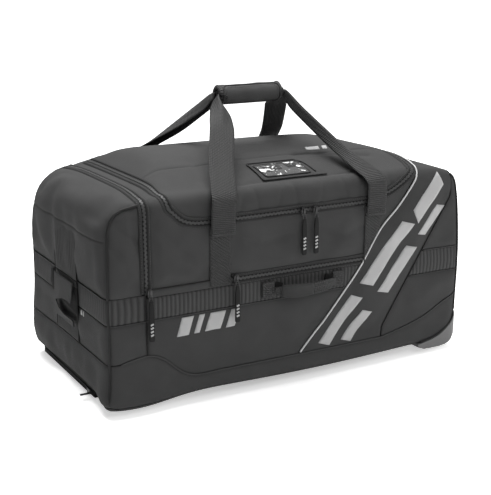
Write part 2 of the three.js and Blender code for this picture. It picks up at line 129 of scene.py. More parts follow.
TOP_LINE = spline(
    [
        *((75, SHOULDER), (125, SHOULDER + 5), (185, CROWN - 5), (260, CROWN), (570, CROWN)),
        *((650, CROWN - 10), (LID_RIGHT, SHOULDER + 14), (788, SHOULDER - 12)),
    ],
    7,
)
PULL_END_LINE = [(0, 14), *arc(75, SHOULDER - 75, 75, 180, 92, 16)]
WHEEL_END_LINE = [*arc(782, SHOULDER - 54, 42, 76, 8, 10), (834, 150), (LENGTH, 16)]
SIDE = [
    *arc(14, 14, 14, 270, 180, 4),
    *PULL_END_LINE[1:],
    *TOP_LINE,
    *WHEEL_END_LINE,
    *arc(LENGTH - 16, 16, 16, -5, -90, 4),
]
CROWN_LINE = [
    *((34, WALL_TOP), (60, 405), (130, 428), (210, CROWN), (290, CROWN)),
    *((350, 434), (HINGE_Y, 412), (410, 408)),
]
CROSS_TOP = [*arc(34, 364, 34, 180, 96, 10), *spline(CROWN_LINE, 6), *arc(WIDTH - 30, 378, 30, 88, 0, 10)]
CROSS = [*arc(14, 14, 14, 270, 180, 4), *CROSS_TOP, *arc(WIDTH - 14, 14, 14, 0, -90, 4)]
CORNER = 27
PLAN = [
    *arc(CORNER, CORNER, CORNER, 270, 180, 8),
    *arc(CORNER, WIDTH - CORNER, CORNER, 180, 90, 8),
    *arc(LENGTH - CORNER, WIDTH - CORNER, CORNER, 90, 0, 8),
    *arc(LENGTH - CORNER, CORNER, CORNER, 0, -90, 8),
]


def distance_to_line(points, line, closed=True):
    """Distance from each 2D point to a polyline."""
    p = np.asarray(points, float)
    a = np.asarray(line, float)
    b = np.roll(a, -1, 0) if closed else a[1:]
    a = a if closed else a[:-1]
    d = b - a
    length2 = np.maximum((d * d).sum(1), 1e-9)
    out = np.empty(len(p))
    for i in range(0, len(p), 8000):
        q = p[i : i + 8000, None, :] - a
        t = np.clip((q * d).sum(2) / length2, 0, 1)
        out[i : i + 8000] = np.sqrt(((q - t[..., None] * d) ** 2).sum(2)).min(1)
    return out


def inside(points, outline):
    p = np.asarray(points, float)
    a = np.asarray(outline, float)
    b = np.roll(a, -1, 0)
    x, y = p[:, 0, None], p[:, 1, None]
    crosses = (a[:, 1] > y) != (b[:, 1] > y)
    slope = (b[:, 0] - a[:, 0]) / np.where(b[:, 1] == a[:, 1], 1e-9, b[:, 1] - a[:, 1])
    return (crosses & (x < a[:, 0] + (y - a[:, 1]) * slope)).sum(1) % 2 == 1


class Field:
    """Signed distance to a closed outline, kept on a grid."""

    STEP = 2.0
    MARGIN = 46

    def __init__(self, outline):
        points = np.array(outline, float)
        self.low = points.min(0) - self.MARGIN
        self.count = np.ceil((points.max(0) + self.MARGIN - self.low) / self.STEP).astype(int) + 1
        axes = [self.low[i] + self.STEP * np.arange(self.count[i]) for i in (0, 1)]
        grid = np.stack(np.meshgrid(*axes, indexing="ij"), -1).reshape(-1, 2)
        value = distance_to_line(grid, points)
        value = np.where(inside(grid, points), -value, value).reshape(self.count)
        slopes = np.gradient(value, self.STEP)
        self.layers = np.stack([value, *slopes], -1)

    def sample(self, a, b):
        q = (np.stack([a, b], -1) - self.low) / self.STEP
        q = np.clip(q, 0, self.count - 1.001)
        i = q.astype(int)
        f = q - i
        u, v = f[:, :1], f[:, 1:]
        n = self.layers
        x, y = i[:, 0], i[:, 1]
        low = n[x, y] * (1 - u) + n[x + 1, y] * u
        high = n[x, y + 1] * (1 - u) + n[x + 1, y + 1] * u
        return low * (1 - v) + high * v


SIDE_FIELD = Field(SIDE)
CROSS_FIELD = Field(CROSS)
PLAN_FIELD = Field(PLAN)
BLEND = 6.0
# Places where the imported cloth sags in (plus) or bulges out (minus): centre, spread, amount.
SAGS = [
    ((18, WIDTH - 8, SHOULDER - 12), (52, 60, 50), 20.0),
    ((24, 6, SHOULDER - 24), (46, 50, 52), 11.0),
    ((56, 12, -2), (66, 34, 34), -15.0),
    ((0, WIDTH - 40, 62), (36, 70, 42), -7.0),
    ((450, 0, 0), (230, 60, 30), -9.5),
    ((430, 300, CROWN), (260, 120, 40), 3.5),
    ((660, WIDTH - 60, CROWN - 10), (80, 90, 40), 4.0),
    ((LENGTH, 60, 215), (24, 150, 95), -6.5),
    ((LENGTH - 6, 30, 366), (22, 60, 24), 3.5),
]


def form(p):
    """Distance outside the bag's form and the outward slope, for points in mm."""
    s = SIDE_FIELD.sample(p[:, 0], p[:, 2])
    c = CROSS_FIELD.sample(p[:, 1], p[:, 2])
    t = PLAN_FIELD.sample(p[:, 0], p[:, 1])
    d = np.stack([s[:, 0], c[:, 0], t[:, 0]], -1) / BLEND
    top = d.max(1, keepdims=True)
    w = np.exp(d - top)
    total = w.sum(1, keepdims=True)
    value = BLEND * (top + np.log(total))[:, 0]
    w /= total
    slope = np.zeros_like(p)
    slope[:, 0] = w[:, 0] * s[:, 1] + w[:, 2] * t[:, 1]
    slope[:, 1] = w[:, 1] * c[:, 1] + w[:, 2] * t[:, 2]
    slope[:, 2] = w[:, 0] * s[:, 2] + w[:, 1] * c[:, 2]
    for centre, spread, amount in SAGS:
        d = (p - centre) / spread
        g = amount * np.exp(-0.5 * (d**2).sum(1))
        value = value + g
        slope -= g[:, None] * d / spread
    return value, slope


def drape(points):
    """Points moved onto the bag's form, with the outward normals there."""
    p = np.array(points, float)
    for _ in range(7):
        value, slope = form(p)
        size2 = np.maximum((slope**2).sum(1), 0.05)
        p -= (value / size2)[:, None] * slope
    return p, unit(form(p)[1])


# Charts: flat millimetre coordinates of each cloth piece, and where they lie on the bag.


def lengths(line):
    steps = np.linalg.norm(np.diff(np.array(line, float), axis=0), axis=1)
    return np.concatenate([[0], np.cumsum(steps)])


WRAP = np.array([(0, 0), *CROSS_TOP, (WIDTH, 0)], float)
WRAP_V = lengths(WRAP)
WRAP_TOTAL = WRAP_V[-1]
TOP_X, TOP_Z = np.array(TOP_LINE).T
PULL_STRIP = np.array([(0, 0), *PULL_END_LINE[1:], (END_SEAM, SHOULDER + 0.4)], float)
PULL_W = lengths(PULL_STRIP)
WHEEL_STRIP = np.array([(LENGTH, 0), *WHEEL_END_LINE[::-1], (783, 388.5)], float)
WHEEL_W = lengths(WHEEL_STRIP)


def side_top(x):
    """Height of the side outline's top at each x."""
    ends_x = [0, *[q[0] for q in PULL_END_LINE[1:]]]
    ends_z = [300, *[q[1] for q in PULL_END_LINE[1:]]]
    right = WHEEL_END_LINE[:11]
    xs = [*ends_x, *TOP_X[1:], *[q[0] for q in right]]
    zs = [*ends_z, *TOP_Z[1:], *[q[1] for q in right]]
    return np.interp(x, xs, zs)


def wrap_chart(uv):
    """(x along the bag, v round its cross-section from the front foot over the top)."""
    y = np.interp(uv[:, 1], WRAP_V, WRAP[:, 0])
    z = np.interp(uv[:, 1], WRAP_V, WRAP[:, 1])
    z = np.minimum(z, side_top(uv[:, 0]))
    return np.stack([uv[:, 0], y, z], -1)


# Rows of WRAP, counted from either foot, that climb the front wall and the rear wall.
FRONT_ROWS, REAR_ROWS = 30, 24


def front_v(z):
    return np.interp(z, WRAP[:FRONT_ROWS, 1], WRAP_V[:FRONT_ROWS])


def rear_v(z):
    from_foot = (WRAP_TOTAL - WRAP_V)[::-1]
    return WRAP_TOTAL - np.interp(z, WRAP[::-1][:REAR_ROWS, 1], from_foot[:REAR_ROWS])


def top_v(y):
    return np.interp(y, WRAP[:, 0][4:-4], WRAP_V[4:-4])


def end_chart(wy, strip, run):
    """(w up a strip of the side outline, y across)."""
    x, z = [np.interp(wy[:, 0], run, strip[:, i]) for i in (0, 1)]
    return np.stack([x, wy[:, 1], z], -1)


def pull_chart(wy):
    return end_chart(wy, PULL_STRIP, PULL_W)


def wheel_chart(wy):
    return end_chart(wy, WHEEL_STRIP, WHEEL_W)


def front_chart(xz):
    return np.stack([xz[:, 0], np.zeros(len(xz)), xz[:, 1]], -1)


def rear_chart(xz):
    return np.stack([xz[:, 0], np.full(len(xz), WIDTH), xz[:, 1]], -1)


# Seam lines in the side view, in x and z.


def line_x(line, z):
    """x of a rising line at height z."""
    xs, zs = np.array(line).T
    return float(np.interp(z, zs, xs))


WAVE = [
    (-20, BOOT_END),
    *spline(
        [(30, BOOT_END), (END_SEAM, BOOT_GUSSET), (118, 80), (141, 60), (162, 44), (185, 36.5), (212, 35)], 5
    ),
    *spline([(240, 36), (580, 36), (650, 40), (740, 62), (800, 92), (850, 112)], 5),
]
GRAPHIC_LEFT = [
    (419, 36),
    *spline([(483, 98), (530, 152), (572, 203), (619, 276), (662, 318), (694, 356)], 4),
    (LID_RIGHT, 385),
]
GRAPHIC_RIGHT = [(619, 36), (630, 56), (803, 327), (806, 340)]
LID_TURN_LEFT = [(LID_LEFT, WALL_TOP), *spline([(133, 374), (160, 349), (185, 341)], 5), (205, LID_FRONT)]
LID_TURN_RIGHT = [(600, LID_FRONT), *spline([(622, 350), (647, 358), (676, 374), (704, 390)], 5)]


def wave_z(x):
    return np.interp(x, *np.array(WAVE).T)


def lid_path():
    """The lid's zip line in the wrap chart, from the rear left over the front to the rear right."""
    rear = top_v(HINGE_Y - 2)
    left = [(LID_LEFT, v) for v in np.linspace(rear, front_v(WALL_TOP) + 8, 12)]
    turn = [(x, front_v(z)) for x, z in LID_TURN_LEFT + LID_TURN_RIGHT]
    right = [(LID_RIGHT, v) for v in np.linspace(front_v(WALL_TOP) + 12, rear, 12)]
    return resample(left + turn + right, 6, False)


def resample(line, step, closed):
    pts = np.array(line, float)
    if closed:
        pts = np.vstack([pts, pts[:1]])
    run = lengths(pts)
    count = max(int(round(run[-1] / step)), 2)
    t = np.linspace(0, run[-1], count + 1)
    corners = run[1:-1][corner_mask(pts)]
    t = np.unique(np.round(np.concatenate([t, corners]), 4))
    keep = np.concatenate([[True], np.diff(t) > step * 0.2])
    keep[-1] = True
    t = t[keep]
    out = np.stack([np.interp(t, run, pts[:, i]) for i in (0, 1)], -1)
    return out[:-1] if closed else out


def corner_mask(pts):
    """Which inner points of a polyline turn by more than 25 degrees."""
    d = unit(np.diff(pts, axis=0))
    return (d[1:] * d[:-1]).sum(1) < math.cos(math.radians(25))


def offset_line(line, distance):
    """A line moved to its left by a distance."""
    pts = np.array(line, float)
    d = unit(np.gradient(pts, axis=0))
    return pts + distance * np.stack([-d[:, 1], d[:, 0]], -1)


# Relief: slow swells and creases of the cloth, from a cloth simulation of the whole shell.

SHELL_STEP = 17
# The cloth is held near seams and below FOOT_HEIGHT, and a little elsewhere, less with the distance.
PIN_RADIUS = 16.0
FOOT_HEIGHT = 14
LOOSE_HOLD, LOOSE_FADE = 0.10, 1500
RELIEF_RANGE = (-3.2, 6.5)
LAST_FRAME = 24
CLOTH_SETTINGS = {
    "vertex_group_mass": "held",
    "quality": 6,
    "mass": 0.25,
    "tension_stiffness": 22,
    "compression_stiffness": 22,
    "shear_stiffness": 6,
    "bending_stiffness": 0.35,
    "shrink_min": -0.035,
    "use_pressure": True,
    "uniform_pressure_force": 1.2,
}


def seam_samples():
    """Points on the seams, piping lines and sewn parts, where the cloth is held."""
    hinge_v, pull_top = top_v(HINGE_Y), PULL_W[-1]
    lines = [(wrap_chart, [(LID_LEFT, hinge_v), (LID_RIGHT, hinge_v)])]
    for chart in (front_chart, rear_chart):
        lines += [(chart, GRAPHIC_LEFT), (chart, GRAPHIC_RIGHT), (chart, WAVE[1:-1])]
        lines.append((chart, [(END_SEAM, BOOT_GUSSET), (END_SEAM, 385)]))
        for z in (BAND_LOW, BAND_HIGH, (BAND_LOW + BAND_HIGH) / 2):
            lines.append((chart, [(END_SEAM, z), (line_x(GRAPHIC_LEFT, z), z)]))
        for x0, x1 in (STRAP_LEFT, STRAP_RIGHT):
            lines += [(chart, [(x, BAND_HIGH), (x, LID_FRONT)]) for x in (x0, (x0 + x1) / 2, x1)]
    for y in (8, WIDTH - 8):
        lines += [(pull_chart, [(0, y), (pull_top, y)]), (wheel_chart, [(0, y), (WHEEL_W[-1], y)])]
    lines += [(pull_chart, [(w, 8), (w, WIDTH - 8)]) for w in (BOOT_END, BAND_LOW, BAND_HIGH, pull_top)]
    lines += [(pull_chart, [(90, y), (320, y)]) for y in (PULL_Y - 57, PULL_Y, PULL_Y + 57)]
    held = [wrap_chart(lid_path()), *[chart(resample(line, 12, False)) for chart, line in lines]]
    id_box = [(x, y, 420) for x in np.linspace(345, 500, 10) for y in np.linspace(58, 150, 7)]
    return drape(np.vstack([*held, np.array(id_box)]))[0]


def shell_grid(step):
    """Closed quad mesh round the bag's form, before draping: vertices and faces."""
    counts = [int(round(size / step)) for size in (LENGTH, WIDTH, SHOULDER)]
    index, verts, faces = {}, [], []

    def vertex(i, j, k):
        key = (i, j, k)
        if key not in index:
            index[key] = len(verts)
            x = LENGTH * i / counts[0]
            verts.append((x, WIDTH * j / counts[1], float(side_top(x)) * k / counts[2]))
        return index[key]

    for axis in range(3):
        u, v = [a for a in range(3) if a != axis]
        for level in (0, counts[axis]):
            for i in range(counts[u]):
                for j in range(counts[v]):
                    corners = []
                    for a, b in ((0, 0), (1, 0), (1, 1), (0, 1)):
                        key = [0, 0, 0]
                        key[axis], key[u], key[v] = level, i + a, j + b
                        corners.append(vertex(*key))
                    outward = (level > 0) != (axis == 1)
                    faces.append(corners if outward else corners[::-1])
    return np.array(verts, float), faces


def simulate_relief():
    """Outward movement of the shell's cloth after a short pressure and gravity simulation."""
    verts, faces = shell_grid(SHELL_STEP)
    rest, normals = drape(verts)
    mesh = bpy.data.meshes.new("relief_shell")
    mesh.from_pydata([tuple(p) for p in to_row(rest)], [], faces)
    shell = bpy.data.objects.new("relief_shell", mesh)
    bpy.context.scene.collection.objects.link(shell)
    seams_near = tree_of(seam_samples())
    group = shell.vertex_groups.new(name="held")
    for i, p in enumerate(rest):
        gap = seams_near.find(p)[2]
        held = gap < PIN_RADIUS or p[2] < FOOT_HEIGHT
        group.add([i], 1.0 if held else max(0.0, LOOSE_HOLD - gap / LOOSE_FADE), "REPLACE")
    cloth = shell.modifiers.new("cloth", "CLOTH")
    for key, value in CLOTH_SETTINGS.items():
        setattr(cloth.settings, key, value)
    cloth.collision_settings.use_collision = False
    scene = bpy.context.scene
    for number in range(1, LAST_FRAME + 1):
        scene.frame_set(number)
    done = shell.evaluated_get(bpy.context.evaluated_depsgraph_get())
    moved = np.array([v.co for v in done.data.vertices]) * 1000 - LOW
    scene.frame_set(1)
    bpy.data.objects.remove(shell)
    out = ((moved - rest) * normals).sum(1) + small_folds(rest, 0.9)
    return rest, np.clip(out, *RELIEF_RANGE)


def small_folds(points, height):
    """Slow uneven swell that keeps large flat pieces from looking machined."""
    return np.array([height * noise.noise(Vector(p) / 75) for p in points])


def tree_of(points):
    """Search tree over points, for the nearest ones."""
    tree = kdtree.KDTree(len(points))
    for i, p in enumerate(points):
        tree.insert(p, i)
    tree.balance()
    return tree


class Relief:
    """Smooth interpolation of the shell's movement to any point on the form."""

    REACH = 17.0

    def __init__(self, points, values):
        self.values = values
        self.tree = tree_of(points)

    def __call__(self, points):
        out = np.zeros(len(points))
        for n, p in enumerate(points):
            found = self.tree.find_n(p, 9)
            w = np.array([math.exp(-((q[2] / self.REACH) ** 2)) for q in found])
            out[n] = (w * self.values[[q[1] for q in found]]).sum() / max(w.sum(), 1e-6)
        return out


RELIEF = Relief(*simulate_relief())


# Materials, all procedural.


class Nodes:
    """Short names for the nodes a material is made of."""

    def __init__(self, name, color, roughness, metallic=0.0):
        self.material = bpy.data.materials.new(name)
        self.material.use_nodes = True
        self.tree = self.material.node_tree
        self.shader = self.tree.nodes["Principled BSDF"]
        self.shader.inputs["Base Color"].default_value = (*color, 1)
        self.shader.inputs["Roughness"].default_value = roughness
        self.shader.inputs["Metallic"].default_value = metallic

    def add(self, kind, **inputs):
        node = self.tree.nodes.new(kind)
        for key, value in inputs.items():
            if key in node.inputs:
                node.inputs[key].default_value = value
            else:
                setattr(node, key, value)
        return node

    def link(self, out, into):
        self.tree.links.new(out, into)
        return into

    def math(self, operation, a, b=0.0):
        node = self.add("ShaderNodeMath", operation=operation)
        for slot, value in zip(node.inputs, (a, b)):
            if isinstance(value, (int, float)):
                slot.default_value = value
            else:
                self.link(value, slot)
        return node.outputs[0]

    def wave(self, coordinate, pitch):
        """Sine of a coordinate with one period per pitch."""
        return self.math("SINE", self.math("MULTIPLY", coordinate, math.tau / pitch))

    def bump(self, height, strength, distance):
        node = self.add("ShaderNodeBump", Strength=strength, Distance=distance)
        self.link(height, node.inputs["Height"])
        self.link(node.outputs[0], self.shader.inputs["Normal"])

    def flat_place(self):
        """The piece's flat coordinates in metres: together, and split."""
        uv = self.add("ShaderNodeUVMap").outputs[0]
        parts = self.add("ShaderNodeSeparateXYZ")
        self.link(uv, parts.inputs[0])
        return uv, parts.outputs

    def object_place(self):
        return self.add("ShaderNodeTexCoord").outputs["Object"]

    def cloudy(self, place, **settings):
        node = self.add("ShaderNodeTexNoise", **settings)
        self.link(place, node.inputs["Vector"])
        return node.outputs[0]

    def shine(self, level):
        self.shader.inputs["Specular IOR Level"].default_value = level

    def tint(self, factor, color, light):
        """Mix the base colour towards a lighter or darker one."""
        mix = self.add("ShaderNodeMix", data_type="RGBA")
        self.link(factor, mix.inputs[0])
        mix.inputs[6].default_value = (*color, 1)
        mix.inputs[7].default_value = (*[min(1.0, c * light) for c in color], 1)
        self.link(mix.outputs[2], self.shader.inputs["Base Color"])


def linear(level):
    """Linear colour of a grey given as an sRGB level out of 255."""
    return (((level / 255 + 0.055) / 1.055) ** 2.4,) * 3


def cloth_finish(name, level, pitch, depth, contrast=1.35, roughness=0.86, ribs=None):
    """Woven cloth with a cloudy tone, or with painted light and shade that follow ribs given as (axis,
    width): lighter on the rib crests, darker between them.
    """
    n = Nodes(name, linear(level), roughness)
    uv, parts = n.flat_place()
    weave = n.math("MULTIPLY", n.wave(parts[0], pitch / 1000), n.wave(parts[1], pitch / 1000))
    cloudy = n.cloudy(uv, Scale=26.0, Detail=4.0)
    height = n.math("ADD", n.math("MULTIPLY", weave, 0.5), n.math("MULTIPLY", cloudy, 1.2))
    n.bump(height, depth, 0.0006)
    # With ribs the tint is painted light and shade, in step with the raised rib crests; without ribs it is a
    # cloudy tone.
    if ribs:
        tone_and_rib_shade = n.math("ABSOLUTE", n.wave(parts[ribs[0]], 2 * ribs[1] / 1000))
    else:
        tone_and_rib_shade = n.math("MULTIPLY", cloudy, 0.8)
    n.tint(tone_and_rib_shade, linear(level), contrast)
    n.shine(0.28)
    return n.material


def webbing_finish(name, level, lean=0.0):
    """Ribs across the strap and rows along it; with a lean the rows run slantwise. The tone is painted light
    and shade of the weave: lighter on its ribs, darker between them.
    """
    n = Nodes(name, linear(level), 0.72)
    _, parts = n.flat_place()
    slant = n.math("ADD", parts[1], n.math("MULTIPLY", parts[0], lean))
    along = n.wave(slant, 0.0064 if lean > 0.3 else 0.0042)
    height = n.math("ADD", along, n.math("MULTIPLY", n.wave(parts[0], 0.0034), 0.35))
    n.bump(height, 0.9, 0.0006)
    # Painted light and shade of the weave, in step with its bump.
    n.tint(n.math("ADD", n.math("MULTIPLY", height, 0.36), 0.5), linear(level * 0.8), 1.9)
    return n.material


def grained_finish(name, level, roughness, scale, depth, metallic=0.0, contrast=1.15):
    n = Nodes(name, linear(level), roughness, metallic)
    grain = n.cloudy(n.object_place(), Scale=scale, Detail=6.0)
    n.bump(grain, depth, 0.0005)
    n.tint(grain, linear(level), contrast)
    if not metallic:
        n.shine(0.25)
    return n.material


def film_finish():
    """Clear glossy window with painted cloudy white reflections: opaque white patches where the noise is
    high, clear film elsewhere.
    """
    n = Nodes("clear_film", linear(235), 0.1)
    cloudy = n.cloudy(n.object_place(), Scale=52.0, Detail=2.0, Distortion=0.9)
    n.bump(cloudy, 0.6, 0.004)
    # Painted reflections: the alpha lets the white base colour show only in the noise's high patches.
    ramp = n.add("ShaderNodeValToRGB")
    for stop, position, level in zip(ramp.color_ramp.elements, (0.57, 0.63), (0.04, 0.95)):
        stop.position = position
        stop.color = (level, level, level, 1)
    n.link(cloudy, ramp.inputs[0])
    n.link(ramp.outputs[0], n.shader.inputs["Alpha"])
    n.shine(0.9)
    return n.material


FINISHES = {
    "fabric": cloth_finish("charcoal_cloth", 49, 1.6, 0.4),
    "boot": cloth_finish("boot_cloth", 50, 1.6, 0.36),
    "graphic": cloth_finish("graphic_cloth", 48, 1.6, 0.26),
    "band": cloth_finish("band_cloth", 54, 1.4, 0.26),
    # The ribbed cloths carry painted light and shade of their ribs: lighter on the crests, darker between
    # them.
    "ribbed": cloth_finish("ribbed_cloth", 42, 1.4, 0.26, 2.1, ribs=(0, RIB)),
    "ribbed_gusset": cloth_finish("ribbed_gusset", 42, 1.4, 0.26, 2.0, ribs=(0, GUSSET_RIB)),
    "ribbed_end": cloth_finish("ribbed_end", 46, 1.4, 0.26, 1.5, ribs=(1, RIB)),
    "ribbed_strip": cloth_finish("ribbed_strip", 42, 1.4, 0.26, 1.6, ribs=(1, STRIP_RIB)),
    "binding": cloth_finish("binding_tape", 44, 1.2, 0.4),
    "piping": cloth_finish("light_piping", 186, 1.2, 0.2, 1.05),
    "print": cloth_finish("light_print", 156, 1.6, 0.16, 1.1, 0.7),
    "webbing": webbing_finish("grey_webbing", 30, 0.2),
    "dark_webbing": webbing_finish("dark_webbing", 31),
    "slant_webbing": webbing_finish("slant_webbing", 24, 0.7),
    "thread": grained_finish("light_thread", 72, 0.7, 900, 0.3),
    "seam_thread": grained_finish("seam_thread", 60, 0.7, 900, 0.3),
    "cord": grained_finish("corner_cord", 24, 0.62, 400, 0.15),
    "grip": cloth_finish("grip_cloth", 58, 1.3, 0.5),
    "zip_fold": cloth_finish("zip_fold", 36, 1.6, 0.4),
    "zip": cloth_finish("zip_tape", 20, 1.0, 0.4),
    "teeth": grained_finish("zip_teeth", 52, 0.45, 500, 0.1),
    "slider": grained_finish("dark_slider", 62, 0.3, 600, 0.08, 1.0),
    "pull": grained_finish("rubber_pull", 13, 0.7, 900, 0.25),
    "window": film_finish(),
    "card": grained_finish("card", 34, 0.5, 60, 0.1, 0.0, 2.2),
    "guard": grained_finish("moulded_guard", 98, 0.55, 1400, 0.3),
    "board": grained_finish("base_board", 30, 0.6, 300, 0.2),
    "tyre": grained_finish("tyre_rubber", 30, 0.6, 700, 0.3),
    "hub": grained_finish("wheel_hub", 120, 0.45, 500, 0.15),
    "steel": grained_finish("axle_steel", 170, 0.3, 700, 0.08, 1.0),
    # Near-black lining cloth (shadow_lining), painted as shade: on the lining behind the seams, in the hand
    # openings and in the hollows behind the side handles. It also colours the tape under the lid's hinge and
    # the card's dark blocks.
    "inside": grained_finish("shadow_lining", 18, 0.95, 200, 0.2),
}


# Mesh helpers.


def make(name, points, faces, finish, body, uv=None, replaces=(), smooth=True):
    """One piece from millimetre points, riding on a body; a blend tuple as body only bakes the piece in
    place.
    """
    mesh = bpy.data.meshes.new(name)
    mesh.from_pydata([tuple(p) for p in to_row(points)], [], [tuple(f) for f in faces])
    if uv is not None:
        layer = mesh.uv_layers.new(name="UVMap")
        flat = np.asarray(uv, float)[[loop.vertex_index for loop in mesh.loops]] / 1000
        layer.data.foreach_set("uv", flat.ravel())
    mesh.polygons.foreach_set("use_smooth", [smooth] * len(mesh.polygons))
    obj = bpy.data.objects.new(name, mesh)
    bpy.context.scene.collection.objects.link(obj)
    paint(obj, finish)
    if isinstance(body, tuple):
        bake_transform(obj)
    else:
        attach(obj, body)
    if replaces:
        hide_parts(*replaces)
    return obj


def paint(obj, finish):
    obj.data.materials.append(FINISHES[finish])


def thicken(obj, thickness):
    """Give a sheet a thickness, on the side away from its normals."""
    solid = obj.modifiers.new("thickness", "SOLIDIFY")
    solid.thickness = thickness / 1000
    solid.offset = -1.0
    return obj


def soften(obj, width, segments=2):
    bevel = obj.modifiers.new("bevel", "BEVEL")
    bevel.width = width / 1000
    bevel.segments = segments
    bevel.limit_method = "ANGLE"
    bevel.angle_limit = math.radians(32)
    return obj


def grid_faces(rows, columns, wrap=False):
    """Quads of a grid of points, whose last column may join the first."""
    faces = []
    for start in range(0, (rows - 1) * columns, columns):
        for c in range(columns if wrap else columns - 1):
            beside = (c + 1) % columns
            faces.append((start + c, start + beside, start + columns + beside, start + columns + c))
    return faces


def smoothstep(t):
    t = np.clip(t, 0, 1)
    return t * t * (3 - 2 * t)


def fill(rim, inner, least):
    """Triangles over a closed rim and the points inside it; least is the gap that joins two points."""
    loop = [(i, (i + 1) % len(rim)) for i in range(len(rim))]
    flat = [Vector(p) for p in np.vstack([rim, inner])]
    verts, _, faces, *_ = delaunay_2d_cdt(flat, loop, [], 1, least)
    return np.array([tuple(v) for v in verts]), [tuple(f) for f in faces]


def triangulate(outline, step):
    rim = resample(outline, step, True)
    low, high = rim.min(0), rim.max(0)
    axes = [np.arange(low[i] + step / 2, high[i], step) for i in (0, 1)]
    grid = np.stack(np.meshgrid(*axes), -1).reshape(-1, 2)
    grid = grid[inside(grid, rim)]
    grid = grid[distance_to_line(grid, rim) > step * 0.45] if len(grid) else grid
    return fill(rim, grid, 0.01)


def facing(points, faces, normals):
    """Faces turned so that they look along the normals."""
    sample = faces[len(faces) // 2]
    a, b, c = points[list(sample[:3])]
    wrong = np.dot(np.cross(b - a, c - a), normals[sample[0]]) < 0
    return [f[::-1] for f in faces] if wrong else faces


class Panel:
    """A cloth piece cut from a chart, with rolled-in seams, a soft swell and optional ribs."""

    # Distances from the rim over which the seam's roll, the swell, the relief and the ribs grow.
    ROLL, SWELL, RELIEF_EDGE, RIB_EDGE = 5, 45, 26, 4

    def __init__(self, chart, outline, puff=2.0, sunk=1.6, ribs=None, grooves=(), relief=1.0, base=0.0):
        self.chart, self.outline = chart, np.array(outline, float)
        self.puff, self.sunk, self.ribs, self.grooves = puff, sunk, ribs, grooves
        self.relief, self.base = relief, base

    def lift(self, q, surface):
        """Height over the bag's form."""
        gap = distance_to_line(q, self.outline)
        out = self.base - self.sunk * (1 - smoothstep(gap / self.ROLL))
        out += self.puff * smoothstep(gap / self.SWELL)
        if self.relief:
            out += self.relief * RELIEF(surface) * smoothstep(gap / self.RELIEF_EDGE)
        for line, depth, width in self.grooves:
            out -= depth * np.exp(-((distance_to_line(q, line, False) / width) ** 2))
        if self.ribs:
            axis, pitch, depth = self.ribs
            wave = np.abs(np.sin(np.pi * q[:, axis] / pitch))
            out += depth * (wave**0.7 - 0.6) * smoothstep(gap / self.RIB_EDGE)
        return out

    def place(self, q, extra=0.0):
        """Points on the piece, raised by an extra amount."""
        q = np.array(q, float)
        surface, normals = drape(self.chart(q))
        return surface + (self.lift(q, surface) + extra)[:, None] * normals, normals

    def kept(self, q, room):
        """The points that lie inside the outline with some room to it."""
        q = q[inside(q, self.outline)]
        return q[distance_to_line(q, self.outline) > room]

    def grid(self, step):
        steps = [step, step]
        if self.ribs:
            steps[self.ribs[0]] = self.ribs[1] / 6
        low, high = self.outline.min(0), self.outline.max(0)
        axes = [np.arange(low[i] + steps[i] / 2, high[i], steps[i]) for i in (0, 1)]
        grid = np.stack(np.meshgrid(*axes), -1)
        if not self.ribs:
            grid[1::2, :, 0] += step / 2
        return self.kept(grid.reshape(-1, 2), 1.2 if self.ribs else 6.5)

    def points(self, step):
        """Points of the rim, and points inside it with rows along the rim and the grooves."""
        rim = resample(self.outline, min(step, 6), True)
        grid = self.grid(step)
        extra = []
        if not self.ribs:
            ring_rows = [offset_line(*looped(rim), side * d)[:-1] for side in (1, -1) for d in (2.2, 4.6)]
            extra = [self.kept(row, 1.9) for row in ring_rows]
        for line, _, width in self.grooves:
            run = resample(line, 6, False)
            extra += [self.kept(offset_line(run, d * width), 2) for d in (-1.6, -0.7, 0, 0.7, 1.6)]
            grid = grid[distance_to_line(grid, line, False) > 2.4 * width]
        return rim, np.vstack([grid, *extra])

    def build(self, name, finish, body, step=9.0, replaces=(), thickness=1.6):
        q, faces = fill(*self.points(step), 0.02)
        points, normals = self.place(q)
        thicken(make(name, points, facing(points, faces, normals), finish, body, q, replaces), thickness)


def frames(points, normals):
    """Unit along, across and up directions of a line lying on a surface."""
    along = unit(np.gradient(points, axis=0))
    across = unit(np.cross(normals, along))
    return along, across, np.cross(along, across)


def sweep(name, points, across, up, profile, finish, body, replaces=()):
    """A closed profile of (across, up) offsets carried along a line; profile may vary by row."""
    points = np.asarray(points, float)
    profile = np.asarray(profile, float)
    if profile.ndim == 2:
        profile = np.broadcast_to(profile, (len(points), *profile.shape))
    count = profile.shape[1]
    verts = points[:, None] + profile[..., :1] * across[:, None] + profile[..., 1:] * up[:, None]
    verts = verts.reshape(-1, 3)
    ends = [tuple(range(count))[::-1], tuple(range(len(verts) - count, len(verts)))]
    uv = np.stack([profile[..., 0].ravel(), np.repeat(lengths(points), count)], -1)
    return make(name, verts, grid_faces(len(points), count, True) + ends, finish, body, uv, replaces)


def tube(name, points, normals, profile, finish, body, replaces=()):
    """A profile carried along a line that lies on a surface."""
    _, across, up = frames(points, normals)
    return sweep(name, points, across, up, profile, finish, body, replaces)


def looped(*lines):
    """Lines with their first row repeated at the end."""
    return [np.vstack([line, line[:1]]) for line in lines]


def ring(radius, count=8, squash=1.0):
    angles = np.linspace(0, math.tau, count, endpoint=False)
    return [(radius * math.cos(a), squash * radius * math.sin(a)) for a in angles]


def flat_profile(width, thickness):
    """Strap cross-section with rounded edges and slightly thicker selvedges."""
    w, t = width / 2, thickness / 2
    left = [(-w + 0.35 * t, t * 0.8), (-w + 1.4, t * 1.1), (-w + 3.2, t)]
    top = [*left, *[(-x, z) for x, z in left[::-1]]]
    return [(-w, 0), *top, (w, 0), *[(x, -z) for x, z in top[::-1]]]


